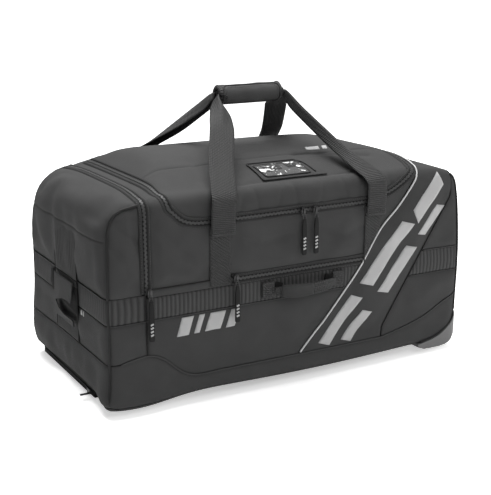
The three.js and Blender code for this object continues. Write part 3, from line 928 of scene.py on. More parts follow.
def surface_line(chart, line, step, lift=0.0):
    points, normals = drape(chart(resample(line, step, False)))
    return points + lift * normals, normals


def piping(name, chart, line, radius, lift, finish="cord", body="bag"):
    tube(name, *surface_line(chart, line, 7, lift), ring(radius), finish, body)


def boxes(name, centres, along, across, up, size, finish, body, bevel=0.0):
    """Many small blocks as one piece; size is the (along, across, up) half extents."""
    corners = np.array([(a, b, c) for a in (-1, 1) for b in (-1, 1) for c in (-1, 1)], float) * size
    reach = sum(corners[:, i, None] * d[:, None] for i, d in enumerate((along, across, up)))
    verts = (centres[:, None] + reach).reshape(-1, 3)
    quads = [(0, 1, 3, 2), (4, 6, 7, 5), (0, 4, 5, 1), (2, 3, 7, 6), (0, 2, 6, 4), (1, 5, 7, 3)]
    faces = [tuple(8 * i + k for k in q) for i in range(len(centres)) for q in quads]
    obj = make(name, verts, faces, finish, body, np.zeros((len(verts), 2)), (), False)
    return soften(obj, bevel, 1) if bevel else obj


def stitches(name, lines, body, finish="thread", length=3.0, gap=2.2, girth=0.42):
    """Rows of short raised threads along (points, normals) lines."""
    rows = []
    for points, normals in lines:
        run = lengths(points)
        t = np.arange(length, run[-1] - length / 2, length + gap)
        at, up, ahead = [
            np.stack([np.interp(s, run, values[:, i]) for i in range(3)], -1)
            for s, values in ((t, points), (t, normals), (t + 0.5, points))
        ]
        along = unit(ahead - at)
        rows.append((at + 0.25 * up, along, unit(np.cross(up, along)), up))
    arrays = [np.vstack(column) for column in zip(*rows)]
    return boxes(name, *arrays, (length / 2, girth, girth * 0.8), finish, body)


# Outlines of the cloth pieces.

SEAM = 0.6
POCKET_Z = BAND_HIGH + 3.5
LID_LINE = lid_path()
LID_REAR = top_v(HINGE_Y)


def between(line, low, high):
    """Part of a polyline whose height lies in a range."""
    pts = resample(line, 5, False)
    return [tuple(p) for p in pts[(pts[:, 1] > low) & (pts[:, 1] < high)]]


def band_edge(line, low, high, shift=0.0):
    """A rising seam line from one height to another, moved along x."""
    ends = [(line_x(line, low), low), *between(line, low + 2, high - 2), (line_x(line, high), high)]
    return [(x + shift, z) for x, z in ends]


def wave_edge(x0, x1, shift):
    xs = np.arange(x0, x1 + 0.1, (x1 - x0) / max(round((x1 - x0) / 8), 1))
    return [(x, float(wave_z(x)) + shift) for x in xs]


def lid_outline():
    inner = offset_line(LID_LINE, -ZIP_HALF)
    inner = inner[(inner[:, 1] < LID_REAR - 2)]
    return [(inner[0][0], LID_REAR - SEAM), *map(tuple, inner), (inner[-1][0], LID_REAR - SEAM)]


def main_outline():
    """Upper front wall with the strip beside the lid's left end, in the wrap chart."""
    left = END_SEAM + ZIP_HALF
    low = POCKET_Z + 2.5
    outer = offset_line(LID_LINE, ZIP_HALF)
    outer = outer[(outer[:, 1] < LID_REAR - 2) & (outer[:, 0] < 672)]
    rising = band_edge(GRAPHIC_LEFT, low, 330, -SEAM)
    corner = [(688, 352), (704, 372), (LID_RIGHT - 2, 384), (LID_RIGHT - 6, 393)]
    return [
        *((x, front_v(z)) for x, z in [(left, low), *rising, *corner]),
        *map(tuple, outer[::-1]),
        (float(outer[0][0]), LID_REAR - SEAM),
        (left, LID_REAR - SEAM),
    ]


def mirrored(line):
    """A wrap chart line taken over to the rear wall."""
    return [(x, WRAP_TOTAL - v) for x, v in line]


def graphic_outline():
    """The printed saddle piece over the wheel end, in the wrap chart."""
    foot = wave_edge(line_x(GRAPHIC_LEFT, 37), line_x(GRAPHIC_RIGHT, 52), SEAM)
    right = band_edge(GRAPHIC_RIGHT, 58, 338, -SEAM)
    left = [(x, front_v(z)) for x, z in band_edge(GRAPHIC_LEFT, 40, 384, SEAM)]
    front = [(x, front_v(z)) for x, z in [*foot, *right]]
    over_right = [(806, v) for v in np.linspace(front_v(345), WRAP_TOTAL - front_v(345), 60)]
    over_left = [(LID_RIGHT + ZIP_HALF, v) for v in np.linspace(LID_REAR, front_v(WALL_TOP), 40)]
    after = (LID_RIGHT + 1, rear_v(384))
    return [*front, *over_right, *mirrored(front[::-1] + left[:-1]), after, *over_left, *left[:0:-1]]


def rear_outline():
    left = END_SEAM + ZIP_HALF
    low = rear_v(BAND_HIGH + SEAM)
    rising = [(x, rear_v(z)) for x, z in band_edge(GRAPHIC_LEFT, BAND_HIGH + SEAM, 384, -SEAM)]
    return [(left, low), *rising, (LID_RIGHT, LID_REAR + SEAM), (left, LID_REAR + SEAM)]


def upper_gusset():
    """Gusset of the end flap on a side wall, in the wall's x and z; it follows the side outline."""
    rise, low = END_SEAM - ZIP_HALF, FLAP_LOW + SEAM
    outer = [(float(x), float(z)) for x, z in PULL_STRIP if z > FLAP_LOW + 4 and x < rise - 1]
    return [(0, low), (rise, low), (rise, float(side_top(rise))), *outer[::-1]]


def wheel_side():
    """Wall piece right of the graphic, above the ribbed band, up to the wheel end's top."""
    low = BAND_HIGH + SEAM
    left = band_edge(GRAPHIC_RIGHT, low, 338, SEAM)
    corner = [(float(x), float(z)) for x, z in WHEEL_STRIP if z > low + 4 and x > 807]
    foot_x = float(np.interp(low, [16, 150, 346], [LENGTH, 834, 824]))
    return [*left[::-1], (foot_x, low), *corner, (806.6, 376)]


# Build the cloth.

PANELS = {}
SIDE_CHARTS = {"front": front_chart, "rear": rear_chart}
# Creases and sewn channels: (line, depth, width), in x and the depth y on the lid's top.
LID_CREASES = [
    ([(LID_LEFT + 12, 124), (LID_RIGHT - 12, 128)], 1.8, 2.4),
    ([(480, 126), (560, 120), (650, 96)], 3.8, 6.5),
    ([(262, 26), (330, 38), (470, 34), (596, 38)], 1.5, 3.2),
    ([(228, 70), (250, 120), (246, 154)], 2.2, 8.0),
    ([(300, 34), (420, 44), (560, 36)], 1.4, 8.0),
]
# The same in x and z on the lid's front edge and on the front wall.
LID_FRONT_CREASES = [
    ([(x, 348), (x + lean, 370), (x + 2 * lean, 392)], 1.5, 4.5)
    for x, lean in ((286, 5), (330, -4), (372, 6), (418, -3), (470, 5), (540, -6), (566, 4), (650, -5))
]
WALL_CREASES = [
    ([(104, 352), (132, 312), (182, 268)], 3.2, 9),
    ([(104, 300), (140, 262), (206, 240)], 2.4, 8),
    ([(276, 306), (330, 282), (392, 290)], 3.4, 9),
    ([(476, 302), (520, 276), (566, 284)], 3.4, 9),
]
GUSSET_CREASES = [
    ([(12, 318), (36, 290), (58, 240)], 2.4, 7),
    ([(26, 360), (48, 336), (72, 318)], 2.0, 6),
    ([(60, 382), (58, 352), (70, 300)], 1.6, 6),
]
BOOT_WHEEL_END = 108


def cloth(name, chart, outline, finish, body="bag", replaces=(), step=9.0, thickness=1.6, **look):
    PANELS[name] = Panel(chart, outline, **look)
    PANELS[name].build(name, finish, body, step, replaces, thickness)


def on_wrap(creases, to_v):
    """Creases with their second coordinate turned into the wrap chart's."""
    return [([(x, to_v(value)) for x, value in line], *size) for line, *size in creases]


def wrap_cloth():
    grooves = on_wrap(LID_CREASES, top_v) + on_wrap(LID_FRONT_CREASES, front_v)
    look = {"puff": 3.0, "relief": 1.25, "grooves": grooves}
    cloth("lid_cloth", wrap_chart, lid_outline(), "fabric", "lid", ("lid_panel",), **look)
    look = {"puff": 2.5, "grooves": on_wrap(WALL_CREASES, front_v)}
    nodes = ("front_panel", "bridge_panel")
    cloth("main_cloth", wrap_chart, main_outline(), "fabric", "bag", nodes, **look)
    cloth("graphic_cloth", wrap_chart, graphic_outline(), "graphic", "bag", ("graphic_panel",))
    cloth("rear_cloth", wrap_chart, rear_outline(), "fabric", "bag", ("rear_panel",), puff=2.5)


def wall_cloth(side, chart):
    """The pieces of one wall below and beside the saddle piece."""
    low, high, under = BAND_LOW + SEAM, BAND_HIGH - SEAM, BAND_LOW - SEAM
    band_top = POCKET_Z - 9.5 if side == "front" else high
    left, gusset = END_SEAM + SEAM, END_SEAM - SEAM
    back_foot = line_x(GRAPHIC_RIGHT, 56) + SEAM
    lower = wave_edge(left, line_x(GRAPHIC_LEFT, 37) - SEAM, SEAM)
    lower = [*lower, *band_edge(GRAPHIC_LEFT, 42, under, -SEAM)]
    back = [*wave_edge(back_foot, 836, SEAM), (833.6, under)]
    back = [*back, *band_edge(GRAPHIC_RIGHT, 60, under, SEAM)[::-1]]
    band = [(END_SEAM, band_top), (END_SEAM, low), *band_edge(GRAPHIC_LEFT, low, band_top, -SEAM)]
    back_band = [*band_edge(GRAPHIC_RIGHT, low, high, SEAM)[::-1], (833.5, low), (831, high)]
    gusset_low = [*wave_edge(0.5, gusset, SEAM), (gusset, under), (0, under)]
    gusset_band = [(0, low), (gusset, low), (gusset, FLAP_LOW), (0, FLAP_LOW)]
    boot = [(0, 2), (LENGTH, 2), *wave_edge(1, LENGTH - 1, -SEAM)[::-1]]
    band_look = {"ribs": (0, RIB, 2.4), "puff": 0.8, "relief": 0.5, "replaces": (f"band_{side}",)}
    gusset_look = {"ribs": (0, GUSSET_RIB, 4.0), "puff": 0.5, "relief": 0.4}
    lower_look = {"puff": 2.6, "replaces": (f"lower_panel_{side}",)}
    for name, outline, finish, look in (
        ("band_cloth", band, "ribbed", band_look),
        ("lower_cloth", [*lower, (left, under)], "fabric", lower_look),
        ("gusset_low", gusset_low, "fabric", {"puff": 1.2}),
        ("gusset_band", gusset_band, "ribbed_gusset", gusset_look),
        ("gusset_top", upper_gusset(), "fabric", {"body": FLAP_BEND, "puff": 2.4, "grooves": GUSSET_CREASES}),
        ("wheel_cloth", wheel_side(), "fabric", {"puff": 2.0}),
        ("wheel_band", back_band, "ribbed", {"ribs": (0, RIB, 1.8), "puff": 0.6, "relief": 0.4}),
        ("wheel_low", back, "fabric", {"puff": 1.4}),
        ("boot", boot, "boot", {"puff": 1.2}),
    ):
        cloth(f"{name}_{side}", chart, outline, finish, **look)


def across_end(low, high, inset=0):
    """Piece from wall to wall between two heights, in an end's chart."""
    return [(low, inset), (low, WIDTH - inset), (high, WIDTH - inset), (high, inset)]


def end_cloth():
    top = across_end(FLAP_LOW + 1, PULL_W[-1] - ZIP_HALF)
    top_look = {"puff": 3.0, "grooves": [([(322, 20), (322, WIDTH - 20)], 2.0, 2.4)]}
    band_look = {"ribs": (1, RIB, 1.2), "puff": 0.6, "relief": 0.4}
    wheel_end = across_end(BOOT_WHEEL_END + 2, WHEEL_W[-1] - 22)
    cloth("end_low", pull_chart, across_end(BOOT_END, BAND_LOW), "fabric", "bag", ("pull_end_panel",))
    cloth("end_band", pull_chart, across_end(BAND_LOW + 1, FLAP_LOW), "ribbed_end", **band_look)
    cloth("end_top", pull_chart, top, "fabric", FLAP_BEND, ("end_flap_panel",), **top_look)
    cloth("wheel_end", wheel_chart, wheel_end, "fabric", "bag", ("wheel_end_panel",), puff=3.0)
    cloth("boot_pull_end", pull_chart, across_end(2, BOOT_END - 1), "boot", "bag", ("base_boot",))
    cloth("boot_wheel_end", wheel_chart, across_end(2, BOOT_WHEEL_END), "boot")


def bottom_chart(xy):
    return np.stack([xy[:, 0], xy[:, 1], np.zeros(len(xy))], -1)


def bottom_cloth():
    outline = [(0, 0), (LENGTH, 0), (LENGTH, WIDTH), (0, WIDTH)]
    cloth("boot_bottom", bottom_chart, outline, "boot", step=20, puff=0, relief=0)


def lining():
    """Cloth just inside the walls, behind every seam, painted near-black as the shade inside the bag."""
    look = {"step": 24, "puff": 0, "sunk": 0, "relief": 0, "base": -8}
    high, flap = 322, FLAP_LOW - 6
    wheel_end = [(736, 10), (772, 84), (830, 100), (828, 150), (818, high)]
    wall = [(4, 10), *wheel_end, (END_SEAM + 5, high), (END_SEAM + 5, flap), (4, flap)]
    for side, chart in SIDE_CHARTS.items():
        cloth(f"lining_{side}", chart, wall, "inside", **look)
    cloth("lining_pull_end", pull_chart, across_end(6, flap, 4), "inside", **look)
    cloth("lining_wheel_end", wheel_chart, across_end(96, WHEEL_W[-1] - 24, 4), "inside", **look)


wrap_cloth()
for wall_side, wall_chart in SIDE_CHARTS.items():
    wall_cloth(wall_side, wall_chart)
end_cloth()
bottom_cloth()
lining()


# Zips: tape, folded edges and teeth, in two halves that ride on their own bodies.

TAPE = [(0.2, 0.5), (2.8, 0.5), (5.4, 0.2), (6.4, -0.8)]
FOLD = [(5.2, -0.6), (5.2, 1.0), (6.0, 1.9), (7.6, 2.3), (9.4, 1.9), (11.0, 0.6), (11.8, -0.9)]
HEM = [(-7.4, -0.8), (-6.4, 1.6), (0, 2.3), (6.4, 2.4), (7.4, 0.4)]
HINGE_TAPE = [(-10, -2.6), (-5, -2.2), (0, -2.0), (5, -2.2), (10, -2.6)]
TOOTH_PITCH = 8.4
# Distances of the stitches and of the cord beside a zip from its middle.
THREAD_OFF, CORD_OFF = 9.2, 11.6


def strip(name, chart, line, profile, finish, body, replaces=()):
    """A long piece lying along a chart line; the profile gives side offsets and lifts."""
    q = resample(line, 4.0, False)
    normal = offset_line(q, 1.0) - q
    columns, uv = [], []
    for side, height in profile:
        points, normals = drape(chart(q + side * normal))
        columns.append(points + height * normals)
        uv.append(np.stack([np.full(len(q), side), lengths(q)], -1))
    faces = grid_faces(len(q), len(profile))
    if profile[-1][0] < profile[0][0]:
        faces = [f[::-1] for f in faces]
    verts, flat = [np.stack(rows, 1).reshape(-1, rows[0].shape[1]) for rows in (columns, uv)]
    thicken(make(name, verts, faces, finish, body, flat, replaces), 0.6)


def teeth(name, chart, line, side, finish, body):
    """Row of teeth on one side; those of the other side stand between them."""
    q = resample(line, TOOTH_PITCH, False)
    normal = offset_line(q, 1.0) - q
    if side < 0:
        q = (q[1:] + q[:-1]) / 2
        normal = (normal[1:] + normal[:-1]) / 2
    points, normals = drape(chart(q + side * 1.0 * normal))
    along, across, up = frames(points, normals)
    boxes(name, points + 1.3 * up, along, across, up, (2.3, 2.4, 0.9), finish, body, 0.3)


def zip_run(name, chart, line, bodies):
    """A chain along a line; bodies are those of its left and right sides."""
    q = resample(line, 4, False)
    for side, body, tag in ((1, bodies[0], "a"), (-1, bodies[1], "b")):
        tape, fold = [[(side * u, h) for u, h in profile] for profile in (TAPE, FOLD)]
        strip(f"{name}_tape_{tag}", chart, line, tape, "zip", body, (f"{name}_chain",) if side > 0 else ())
        strip(f"{name}_fold_{tag}", chart, line, fold, "zip_fold", body)
        teeth(f"{name}_teeth_{tag}", chart, line, side, "teeth", body)
        rows = [surface_line(chart, offset_line(q, side * THREAD_OFF), 4, 2.1)]
        stitches(f"{name}_stitch_{tag}", rows, body, "thread", 2.4, 2.6, 0.3)
        piping(f"{name}_cord_{tag}", chart, offset_line(q, side * CORD_OFF), 0.9, 0.0, "cord", body)


def zips():
    zip_run("main_zip", wrap_chart, [tuple(p) for p in LID_LINE], ("bag", "lid"))
    low, high = FLAP_LOW + 3, 380
    end_v = [
        *(front_v(z) for z in np.arange(low, high, 6)),
        *np.arange(front_v(high), rear_v(high), 6),
        *(rear_v(z) for z in np.arange(high, low, -6)),
    ]
    zip_run("end_zip", wrap_chart, [(END_SEAM, v) for v in end_v], ("end_flap", "bag"))
    start, hem_z = STRAP_LEFT[1] + 1, POCKET_Z - 3
    pocket_run = [(start, POCKET_Z), (line_x(GRAPHIC_LEFT, POCKET_Z) - 2, POCKET_Z)]
    zip_run("pocket_zip", front_chart, pocket_run, ("bag", "bag"))
    strip("band_hem", front_chart, [(END_SEAM + ZIP_HALF, hem_z), (start, hem_z)], HEM, "fabric", "bag")


# Piping and thin seam lines.


def wall_seams(tag, chart, y):
    """Cords and seams on and beside one wall, which stands at y in the end charts."""
    top = PULL_W[-1] - ZIP_HALF - 2
    wave = [q for q in WAVE if 2 <= q[0] <= LENGTH - 4]
    rim = spline([(838, 61), (814, 37), (780, 15), (735, 4)], 6)
    piping(f"corner_cord_low_{tag}", pull_chart, [(16, y), (FLAP_LOW, y)], 2.6, 1.2)
    piping(f"corner_cord_top_{tag}", pull_chart, [(FLAP_LOW, y), (top, y)], 2.6, 1.2, "cord", FLAP_BEND)
    piping(f"wheel_cord_{tag}", wheel_chart, [(66, y), (WHEEL_W[-1] - 24, y)], 2.2, 1.0)
    piping(f"graphic_back_{tag}", chart, band_edge(GRAPHIC_RIGHT, 58, 338), 1.0, 0.2)
    piping(f"wave_seam_{tag}", chart, wave, 1.3, 0.2, "seam_thread")
    for label, z in (("low", BAND_LOW), ("high", BAND_HIGH)):
        if (tag, label) != ("front", "high"):
            line = [(2, z), (line_x(GRAPHIC_LEFT, z) - 2, z)]
            piping(f"band_{label}_seam_{tag}", chart, line, 0.9, 0.1, "seam_thread")
        line = [(line_x(GRAPHIC_RIGHT, z) + 5, z), (831, z)]
        piping(f"wheel_band_{label}_seam_{tag}", chart, line, 0.9, 0.1, "seam_thread")
    piping(f"guard_binding_{tag}", chart, rim, 2.0, 1.6)
    piping(f"gusset_seam_{tag}", chart, [(END_SEAM, BOOT_GUSSET), (END_SEAM, FLAP_LOW - 2)], 0.9, 0.1)


def seams():
    for (tag, chart), y in zip(SIDE_CHARTS.items(), (0.0, WIDTH)):
        wall_seams(tag, chart, y)
    rising = [(x, front_v(z)) for x, z in band_edge(GRAPHIC_LEFT, 40, 376)]
    corner_v = front_v(WALL_TOP)
    rising += [(LID_RIGHT - 1, front_v(388)), (LID_RIGHT + 6, corner_v), (LID_RIGHT + 11, corner_v + 22)]
    piping("graphic_edge", wrap_chart, rising + mirrored(rising[::-1]), 1.8, 2.0, "piping")
    back, hinge = WHEEL_W[-1] - 23, [(LID_LEFT + 8, LID_REAR), (LID_RIGHT - 8, LID_REAR)]
    piping("end_wave_seam", pull_chart, [(BOOT_END, 2), (BOOT_END, WIDTH - 2)], 1.2, 0.2)
    piping("end_band_seam", pull_chart, [(FLAP_LOW, 2), (FLAP_LOW, WIDTH - 2)], 1.2, 0.6)
    piping("wheel_top_seam", wheel_chart, [(back, 4), (back, WIDTH - 4)], 1.2, 0.4)
    piping("lid_hinge_seam", wrap_chart, hinge, 1.3, 0.3)
    x, y, z = drape(wrap_chart(np.array([[LENGTH / 2, LID_REAR]])))[0][0]
    bend = ("bag", "lid", (x, y + 8, z), (x, y - 8, z))
    strip("lid_hinge_tape", wrap_chart, hinge, HINGE_TAPE, "inside", bend)


# Printed marks: thin pieces of light ink lying on a cloth piece.


def decal(name, panel, outlines, finish, body, extra=0.5, step=7.0):
    """Flat shapes printed on a panel, all in one piece."""
    points, faces, flat, start = [], [], [], 0
    for outline in outlines:
        q, tris = triangulate(outline, step)
        placed, normals = panel.place(q, extra)
        faces += [tuple(start + i for i in f) for f in facing(placed, tris, normals)]
        points.append(placed)
        flat.append(q)
        start += len(q)
    obj = make(name, np.vstack(points), faces, finish, body, np.vstack(flat))
    return thicken(obj, 0.4)


# The frame of the graphic's bars: a corner by the foot of its seam, and the way up the seam and across it.
BAR_ORIGIN = np.array([424.0, 40.0])
BAR_UP = np.array([0.652, 0.758])
BAR_SIDE = np.array([0.758, -0.652])


def slanted(a0, a1, b0, b1, lean=0.0):
    """Bar along the graphic seam: a runs up the seam, b across it; lean skews both ends."""
    corners = [(a0, b0), (a1, b0), (a1 + lean, b1), (a0 + lean, b1)]
    return [tuple(BAR_ORIGIN + a * BAR_UP + b * BAR_SIDE) for a, b in corners]


def leaning(x, width, lean, low, high):
    """Bar between two heights whose top is moved along x."""
    return [(x, low), (x + width, low), (x + width + lean, high), (x + lean, high)]


def prints():
    bars = [
        slanted(38, 160, 28, 53, 10),
        slanted(73, 150, 71, 94, 10),
        slanted(190, 350, 27, 57, 14),
        slanted(200, 318, 75, 102, 14),
        slanted(384, 486, 34, 64, -14),
        slanted(352, 430, 80, 102, 12),
    ]
    decal("graphic_bars", PANELS["graphic_cloth"], bars, "print", "bag")
    decal("graphic_bars_rear", PANELS["graphic_cloth"], [mirrored(bar) for bar in bars], "print", "bag")
    marks = [leaning(x, width, 14, 122, 157) for x, width in ((144, 26), (182, 12), (206, 34), (252, 20))]
    decal("front_marks", PANELS["lower_cloth_front"], marks, "print", "bag")
    low, high = top_v(142), top_v(158)
    marks = [leaning(x, width, 6, low, high) for x, width in ((522, 34), (564, 12), (584, 34))]
    decal("lid_marks", PANELS["lid_cloth"], marks, "print", "lid")
    z = 150
    marks = []
    for y, width in ((138, 8), (126, 5)):
        marks.append([(z, y), (z + 9, y + 3), (z + 9, y - width + 3), (z, y - width)])
    decal("end_marks", PANELS["end_low"], marks, "print", "bag", 0.6, 5)


# Carrying straps: webbing that runs up the wall, over the lid and folds into the grip.

# How much higher a rear strap lies over the lid, and how far the right one tucks in under the grip.
STRAP_RISE = {("rear", "left"): 5, ("rear", "right"): 12}
REAR_TUCK = 13


def free_line(x, foot, grip_end, lift):
    """Middle line of a strap's free part, for the front wall, from its foot to inside the grip."""
    inward = 1 if grip_end > x else -1
    reach, far_reach, far_z = (38, 92, 521) if inward > 0 else (28, 76, 517)
    knots = [
        (foot, -5, STRAP_FREE_Z),
        (foot, -7, 360),
        (foot + inward * 4, -4, 388 + lift),
        (x + inward * reach, 62, CROWN - 9 + lift / 2),
        (x + inward * far_reach, 160, far_z),
        (grip_end - inward * 6, MIDDLE - 14, GRIP_Z + 3),
        (grip_end + inward * 12, MIDDLE - 8, GRIP_Z - 1),
    ]
    p = np.array([knots[0], *knots, knots[-1]], float)
    out = []
    for i in range(1, len(p) - 2):
        start, stop = p[i], p[i + 1]
        leave, arrive = 0.42 * (stop - p[i - 1]), 0.42 * (p[i + 2] - start)
        for t in np.linspace(0, 1, 9, endpoint=i == len(p) - 3):
            ends = (2 * t**3 - 3 * t**2 + 1) * start + (3 * t**2 - 2 * t**3) * stop
            out.append(ends + (t**3 - 2 * t**2 + t) * leave + (t**3 - t**2) * arrive)
    return np.array(out)


def folded_profile(low, high, thickness, fold):
    """Strap section folded lengthwise about its middle by an angle."""
    half = fold / 2
    outer, inner = [], []
    for s in np.linspace(low, high, 13):
        bend = half * smoothstep(abs(s) / 5)
        t = thickness / (4 if min(s - low, high - s) < (high - low) / 60 else 2)
        nx, nz = t * np.sign(s) * math.sin(bend), t * math.cos(bend)
        cx, cz = s * math.cos(half), -abs(s) * math.sin(half)
        outer.append((cx + nx, cz + nz))
        inner.append((cx - nx, cz - nz))
    return outer + inner[::-1]


def strap_width(side, end, x):
    """Half width and centre line of a strap; the one by the printed piece is gathered a little."""
    half = (STRAP_LEFT[1] - STRAP_LEFT[0]) / 2
    if side == "rear":
        return half, x
    return (half - 3, x - 3) if end == "right" else (half, x + 5)


def strap_foot(side, end, x):
    """Wall part of a strap; its lower edge is sewn in behind the printed piece."""
    half, x = strap_width(side, end, x)
    zs = np.arange(POCKET_Z - 8 if side == "front" else BAND_HIGH + 1, STRAP_FREE_Z - 1, 6)
    points, normals = drape(SIDE_CHARTS[side](np.stack([np.full(len(zs), x), zs], -1)))
    across = np.tile([1.0 if side == "front" else -1.0, 0, 0], (len(zs), 1))
    rows = []
    for z in zs:
        rim = max(min(half - 7, line_x(GRAPHIC_LEFT, z) - 6 - x), 2 - half)
        rows.append(folded_profile(*((-half, rim) if side == "front" else (-rim, half)), 2.4, 0))
    name, node = f"strap_foot_{side}_{end}", f"strap_anchor_{side}_{end}"
    sweep(name, points + 3.6 * normals, across, normals, rows, "slant_webbing", "bag", (node,))


def strap_section(side, end, half, t):
    """Half widths of a strap along its length t, from 0 to 1, and how far its fold leaves it open."""
    if (end == "left") != (side == "rear"):
        start, run = (0.8, 0.24) if side == "rear" else (0.68, 0.29)
        opened = np.sqrt(np.clip(1 - (np.clip(t - start, 0, 1) / run) ** 1.7, 0.02, 1))
    else:
        opened = 1 - 0.74 * smoothstep((t - 0.24) / 0.62)
    halves = half * (1 - 0.45 * smoothstep((t - 0.86) / 0.12))
    if (side, end) == ("rear", "left"):
        halves = halves * (1 - 0.3 * np.exp(-(((t - 0.42) / 0.16) ** 2)))
    return halves, opened


def carry_strap(side, end, middle, grip_end):
    """Free part of a strap, sewn over its foot and folded lengthwise where it meets the grip."""
    outward = -1 if side == "front" else 1
    half, x = strap_width(side, end, middle)
    if (side, end) == ("rear", "right"):
        grip_end -= REAR_TUCK
    free = free_line(min(middle, x), x, grip_end, STRAP_RISE.get((side, end), 0))
    free[:, 1] -= 2.2 * (1 - smoothstep(lengths(free) / 60))
    points = np.vstack([[(x, -7.6, STRAP_FREE_Z - below) for below in (24, 16, 8)], free])
    if side == "rear":
        points[:, 1] = WIDTH - points[:, 1]
    along = unit(np.gradient(points, axis=0))
    across = np.tile([1.0, 0, 0], (len(points), 1))
    across = unit(across - (across * along).sum(1, keepdims=True) * along)
    up = -outward * np.cross(across, along)
    halves, opened = strap_section(side, end, half, lengths(points) / lengths(points)[-1])
    rows = [folded_profile(-h, h, 2.6, 2 * math.acos(min(n, 1.0))) for h, n in zip(halves, opened)]
    y = points[0, 1]
    body = ("bag", f"{side}_loop", (x, y, STRAP_FREE_Z - 10), (x, y, STRAP_FREE_Z + 36))
    finish = "webbing" if side == "front" else "dark_webbing"
    sweep(f"carry_strap_{side}_{end}", points, across, up, rows, finish, body, (f"{side}_strap_{end}",))
    left, right, face_y = x - half + 4, x + half - 4, y + outward * 1.5
    rows = (STRAP_FREE_Z - 14, STRAP_FREE_Z - 19)
    lines = [flat_line((left, z), (right, z), face_y, outward) for z in rows]
    stitches(f"strap_rows_{side}_{end}", lines, "bag", "seam_thread")


def flat_line(start, stop, y, outward):
    """Straight line in x and z at one y, with normals pointing out of the wall."""
    count = max(int(math.dist(start, stop) / 4), 2)
    t = np.linspace(0, 1, count)[:, None]
    flat = np.array(start) * (1 - t) + np.array(stop) * t
    return np.insert(flat, 1, y, axis=1), np.tile([0.0, outward, 0], (count, 1))


# Grip: a padded wrap round both straps.

GRIP_RADIUS = 18.0


def tube_map(q, radius):
    """Map (x, arc length measured from straight down the front) onto the grip."""
    angle = q[:, 1] / GRIP_RADIUS
    normal = np.stack([np.zeros(len(q)), -np.cos(angle), np.sin(angle)], -1)
    centre = np.stack([q[:, 0], np.full(len(q), MIDDLE), np.full(len(q), GRIP_Z + 1.5)], -1)
    return centre + radius * normal, normal


def rounded_box(x0, x1, y0, y1, radius, steps=5):
    return [
        *arc(x1 - radius, y0 + radius, radius, -90, 0, steps),
        *arc(x1 - radius, y1 - radius, radius, 0, 90, steps),
        *arc(x0 + radius, y1 - radius, radius, 90, 180, steps),
        *arc(x0 + radius, y0 + radius, radius, 180, 270, steps),
    ]


def grip_sheet(name, outline, radius, swell, finish, body, thickness, replaces=()):
    """Padded sheet on the grip, with a sewn channel along its front."""
    q, faces = triangulate(outline, 4.0)
    gap = distance_to_line(q, outline)
    wavy = 0.5 * np.sin(q[:, 0] / 17) + 0.3 * np.sin(q[:, 0] / 7.3 + q[:, 1] / 9)
    channel = 0.8 * np.exp(-((q[:, 1] + 4) ** 2) / 3)
    lift = swell * smoothstep(gap / 9) - channel + wavy * smoothstep(gap / 6)
    points, normals = tube_map(q, radius)
    points = points + lift[:, None] * normals
    thicken(make(name, points, facing(points, faces, normals), finish, body, q, replaces), thickness)


def grip():
    x0, x1 = GRIP_X[0] - 1, GRIP_X[1] - 7
    wrap = rounded_box(x0, x1, -40, 40, 10)
    face = rounded_box(x0 + 5, x1 - 5, -24, 21, 12)
    seam = rounded_box(x0 + 11, x1 - 11, -18, 15, 9)
    flap = rounded_box(GRIP_X[0] + 9, GRIP_X[1] - 9, 46, 76, 9)
    grip_sheet("grip_wrap_pad", wrap, 18.0, 1.6, "dark_webbing", "front_loop", 3.0, ("grip_wrap",))
    grip_sheet("grip_face", face, 19.6, 1.5, "grip", "front_loop", 1.2)
    rim = looped(*tube_map(resample(face, 4, True), 20.3))
    tube("grip_binding", *rim, ring(1.4, 6), "binding", "front_loop")
    stitches("grip_stitch", [tube_map(resample(seam, 4, True), 21.3)], "front_loop", "seam_thread")
    around = np.arange(0, math.tau * GRIP_RADIUS, 4)
    for tag, x in (("left", x0 + 2), ("right", x1 - 2)):
        rim, out = tube_map(np.stack([np.full(len(around), x), around], -1), 15.5)
        rim += (0.9 * np.sin(around / 4) + 0.6 * np.sin(around / 7 + x))[:, None] * out
        tube(f"grip_roll_{tag}", *looped(rim, out), ring(4.8), "dark_webbing", "front_loop")
    grip_sheet("grip_flap_pad", flap, 22.6, 0.8, "dark_webbing", "grip_flap", 1.6, ("grip_flap",))


# Sliders and cord pulls.

PULL_LENGTHS = {"main_left": 80, "main_right": 80, "pocket": 80, "end": 86}


def extrude(name, outline, y0, y1, finish, body, bevel, replaces=()):
    """Solid with an outline in x and z between two depths."""
    pts = np.array(outline, float)
    count = len(pts)
    verts = np.vstack([np.insert(pts, 1, y, axis=1) for y in (y0, y1)])
    sides = [(i, i + count, (i + 1) % count + count, (i + 1) % count) for i in range(count)]
    faces = [tuple(range(count)), tuple(range(2 * count - 1, count - 1, -1)), *sides]
    soften(make(name, verts, faces, finish, body, np.vstack([pts, pts]), replaces), bevel, 3)


def ring_tube(name, outline, y, radius, finish, body):
    """Round cord along a closed outline in x and z, at one depth."""
    points = np.insert(np.array([*outline, outline[0]], float), 1, y, axis=1)
    tube(name, points, np.tile([0.0, -1, 0], (len(points), 1)), ring(radius), finish, body)


def zip_slider(slider, x, z):
    shell = [
        *((x - 3.4, z + 8), (x + 3.4, z + 8), (x + 5.2, z + 3), (x + 4.2, z - 8), (x + 1.6, z - 8)),
        *((x, z - 6), (x - 1.6, z - 8), (x - 4.2, z - 8), (x - 5.2, z + 3)),
    ]
    saddle = [(x - 1.5, z - 7), (x + 1.5, z - 7), (x + 1.5, z + 6), (x - 1.5, z + 6)]
    extrude(f"{slider}_plate", shell, -6.4, -2.6, "slider", slider, 0.8, (slider,))
    extrude(f"{slider}_bridge", saddle, -8.8, -5.6, "slider", slider, 0.9)


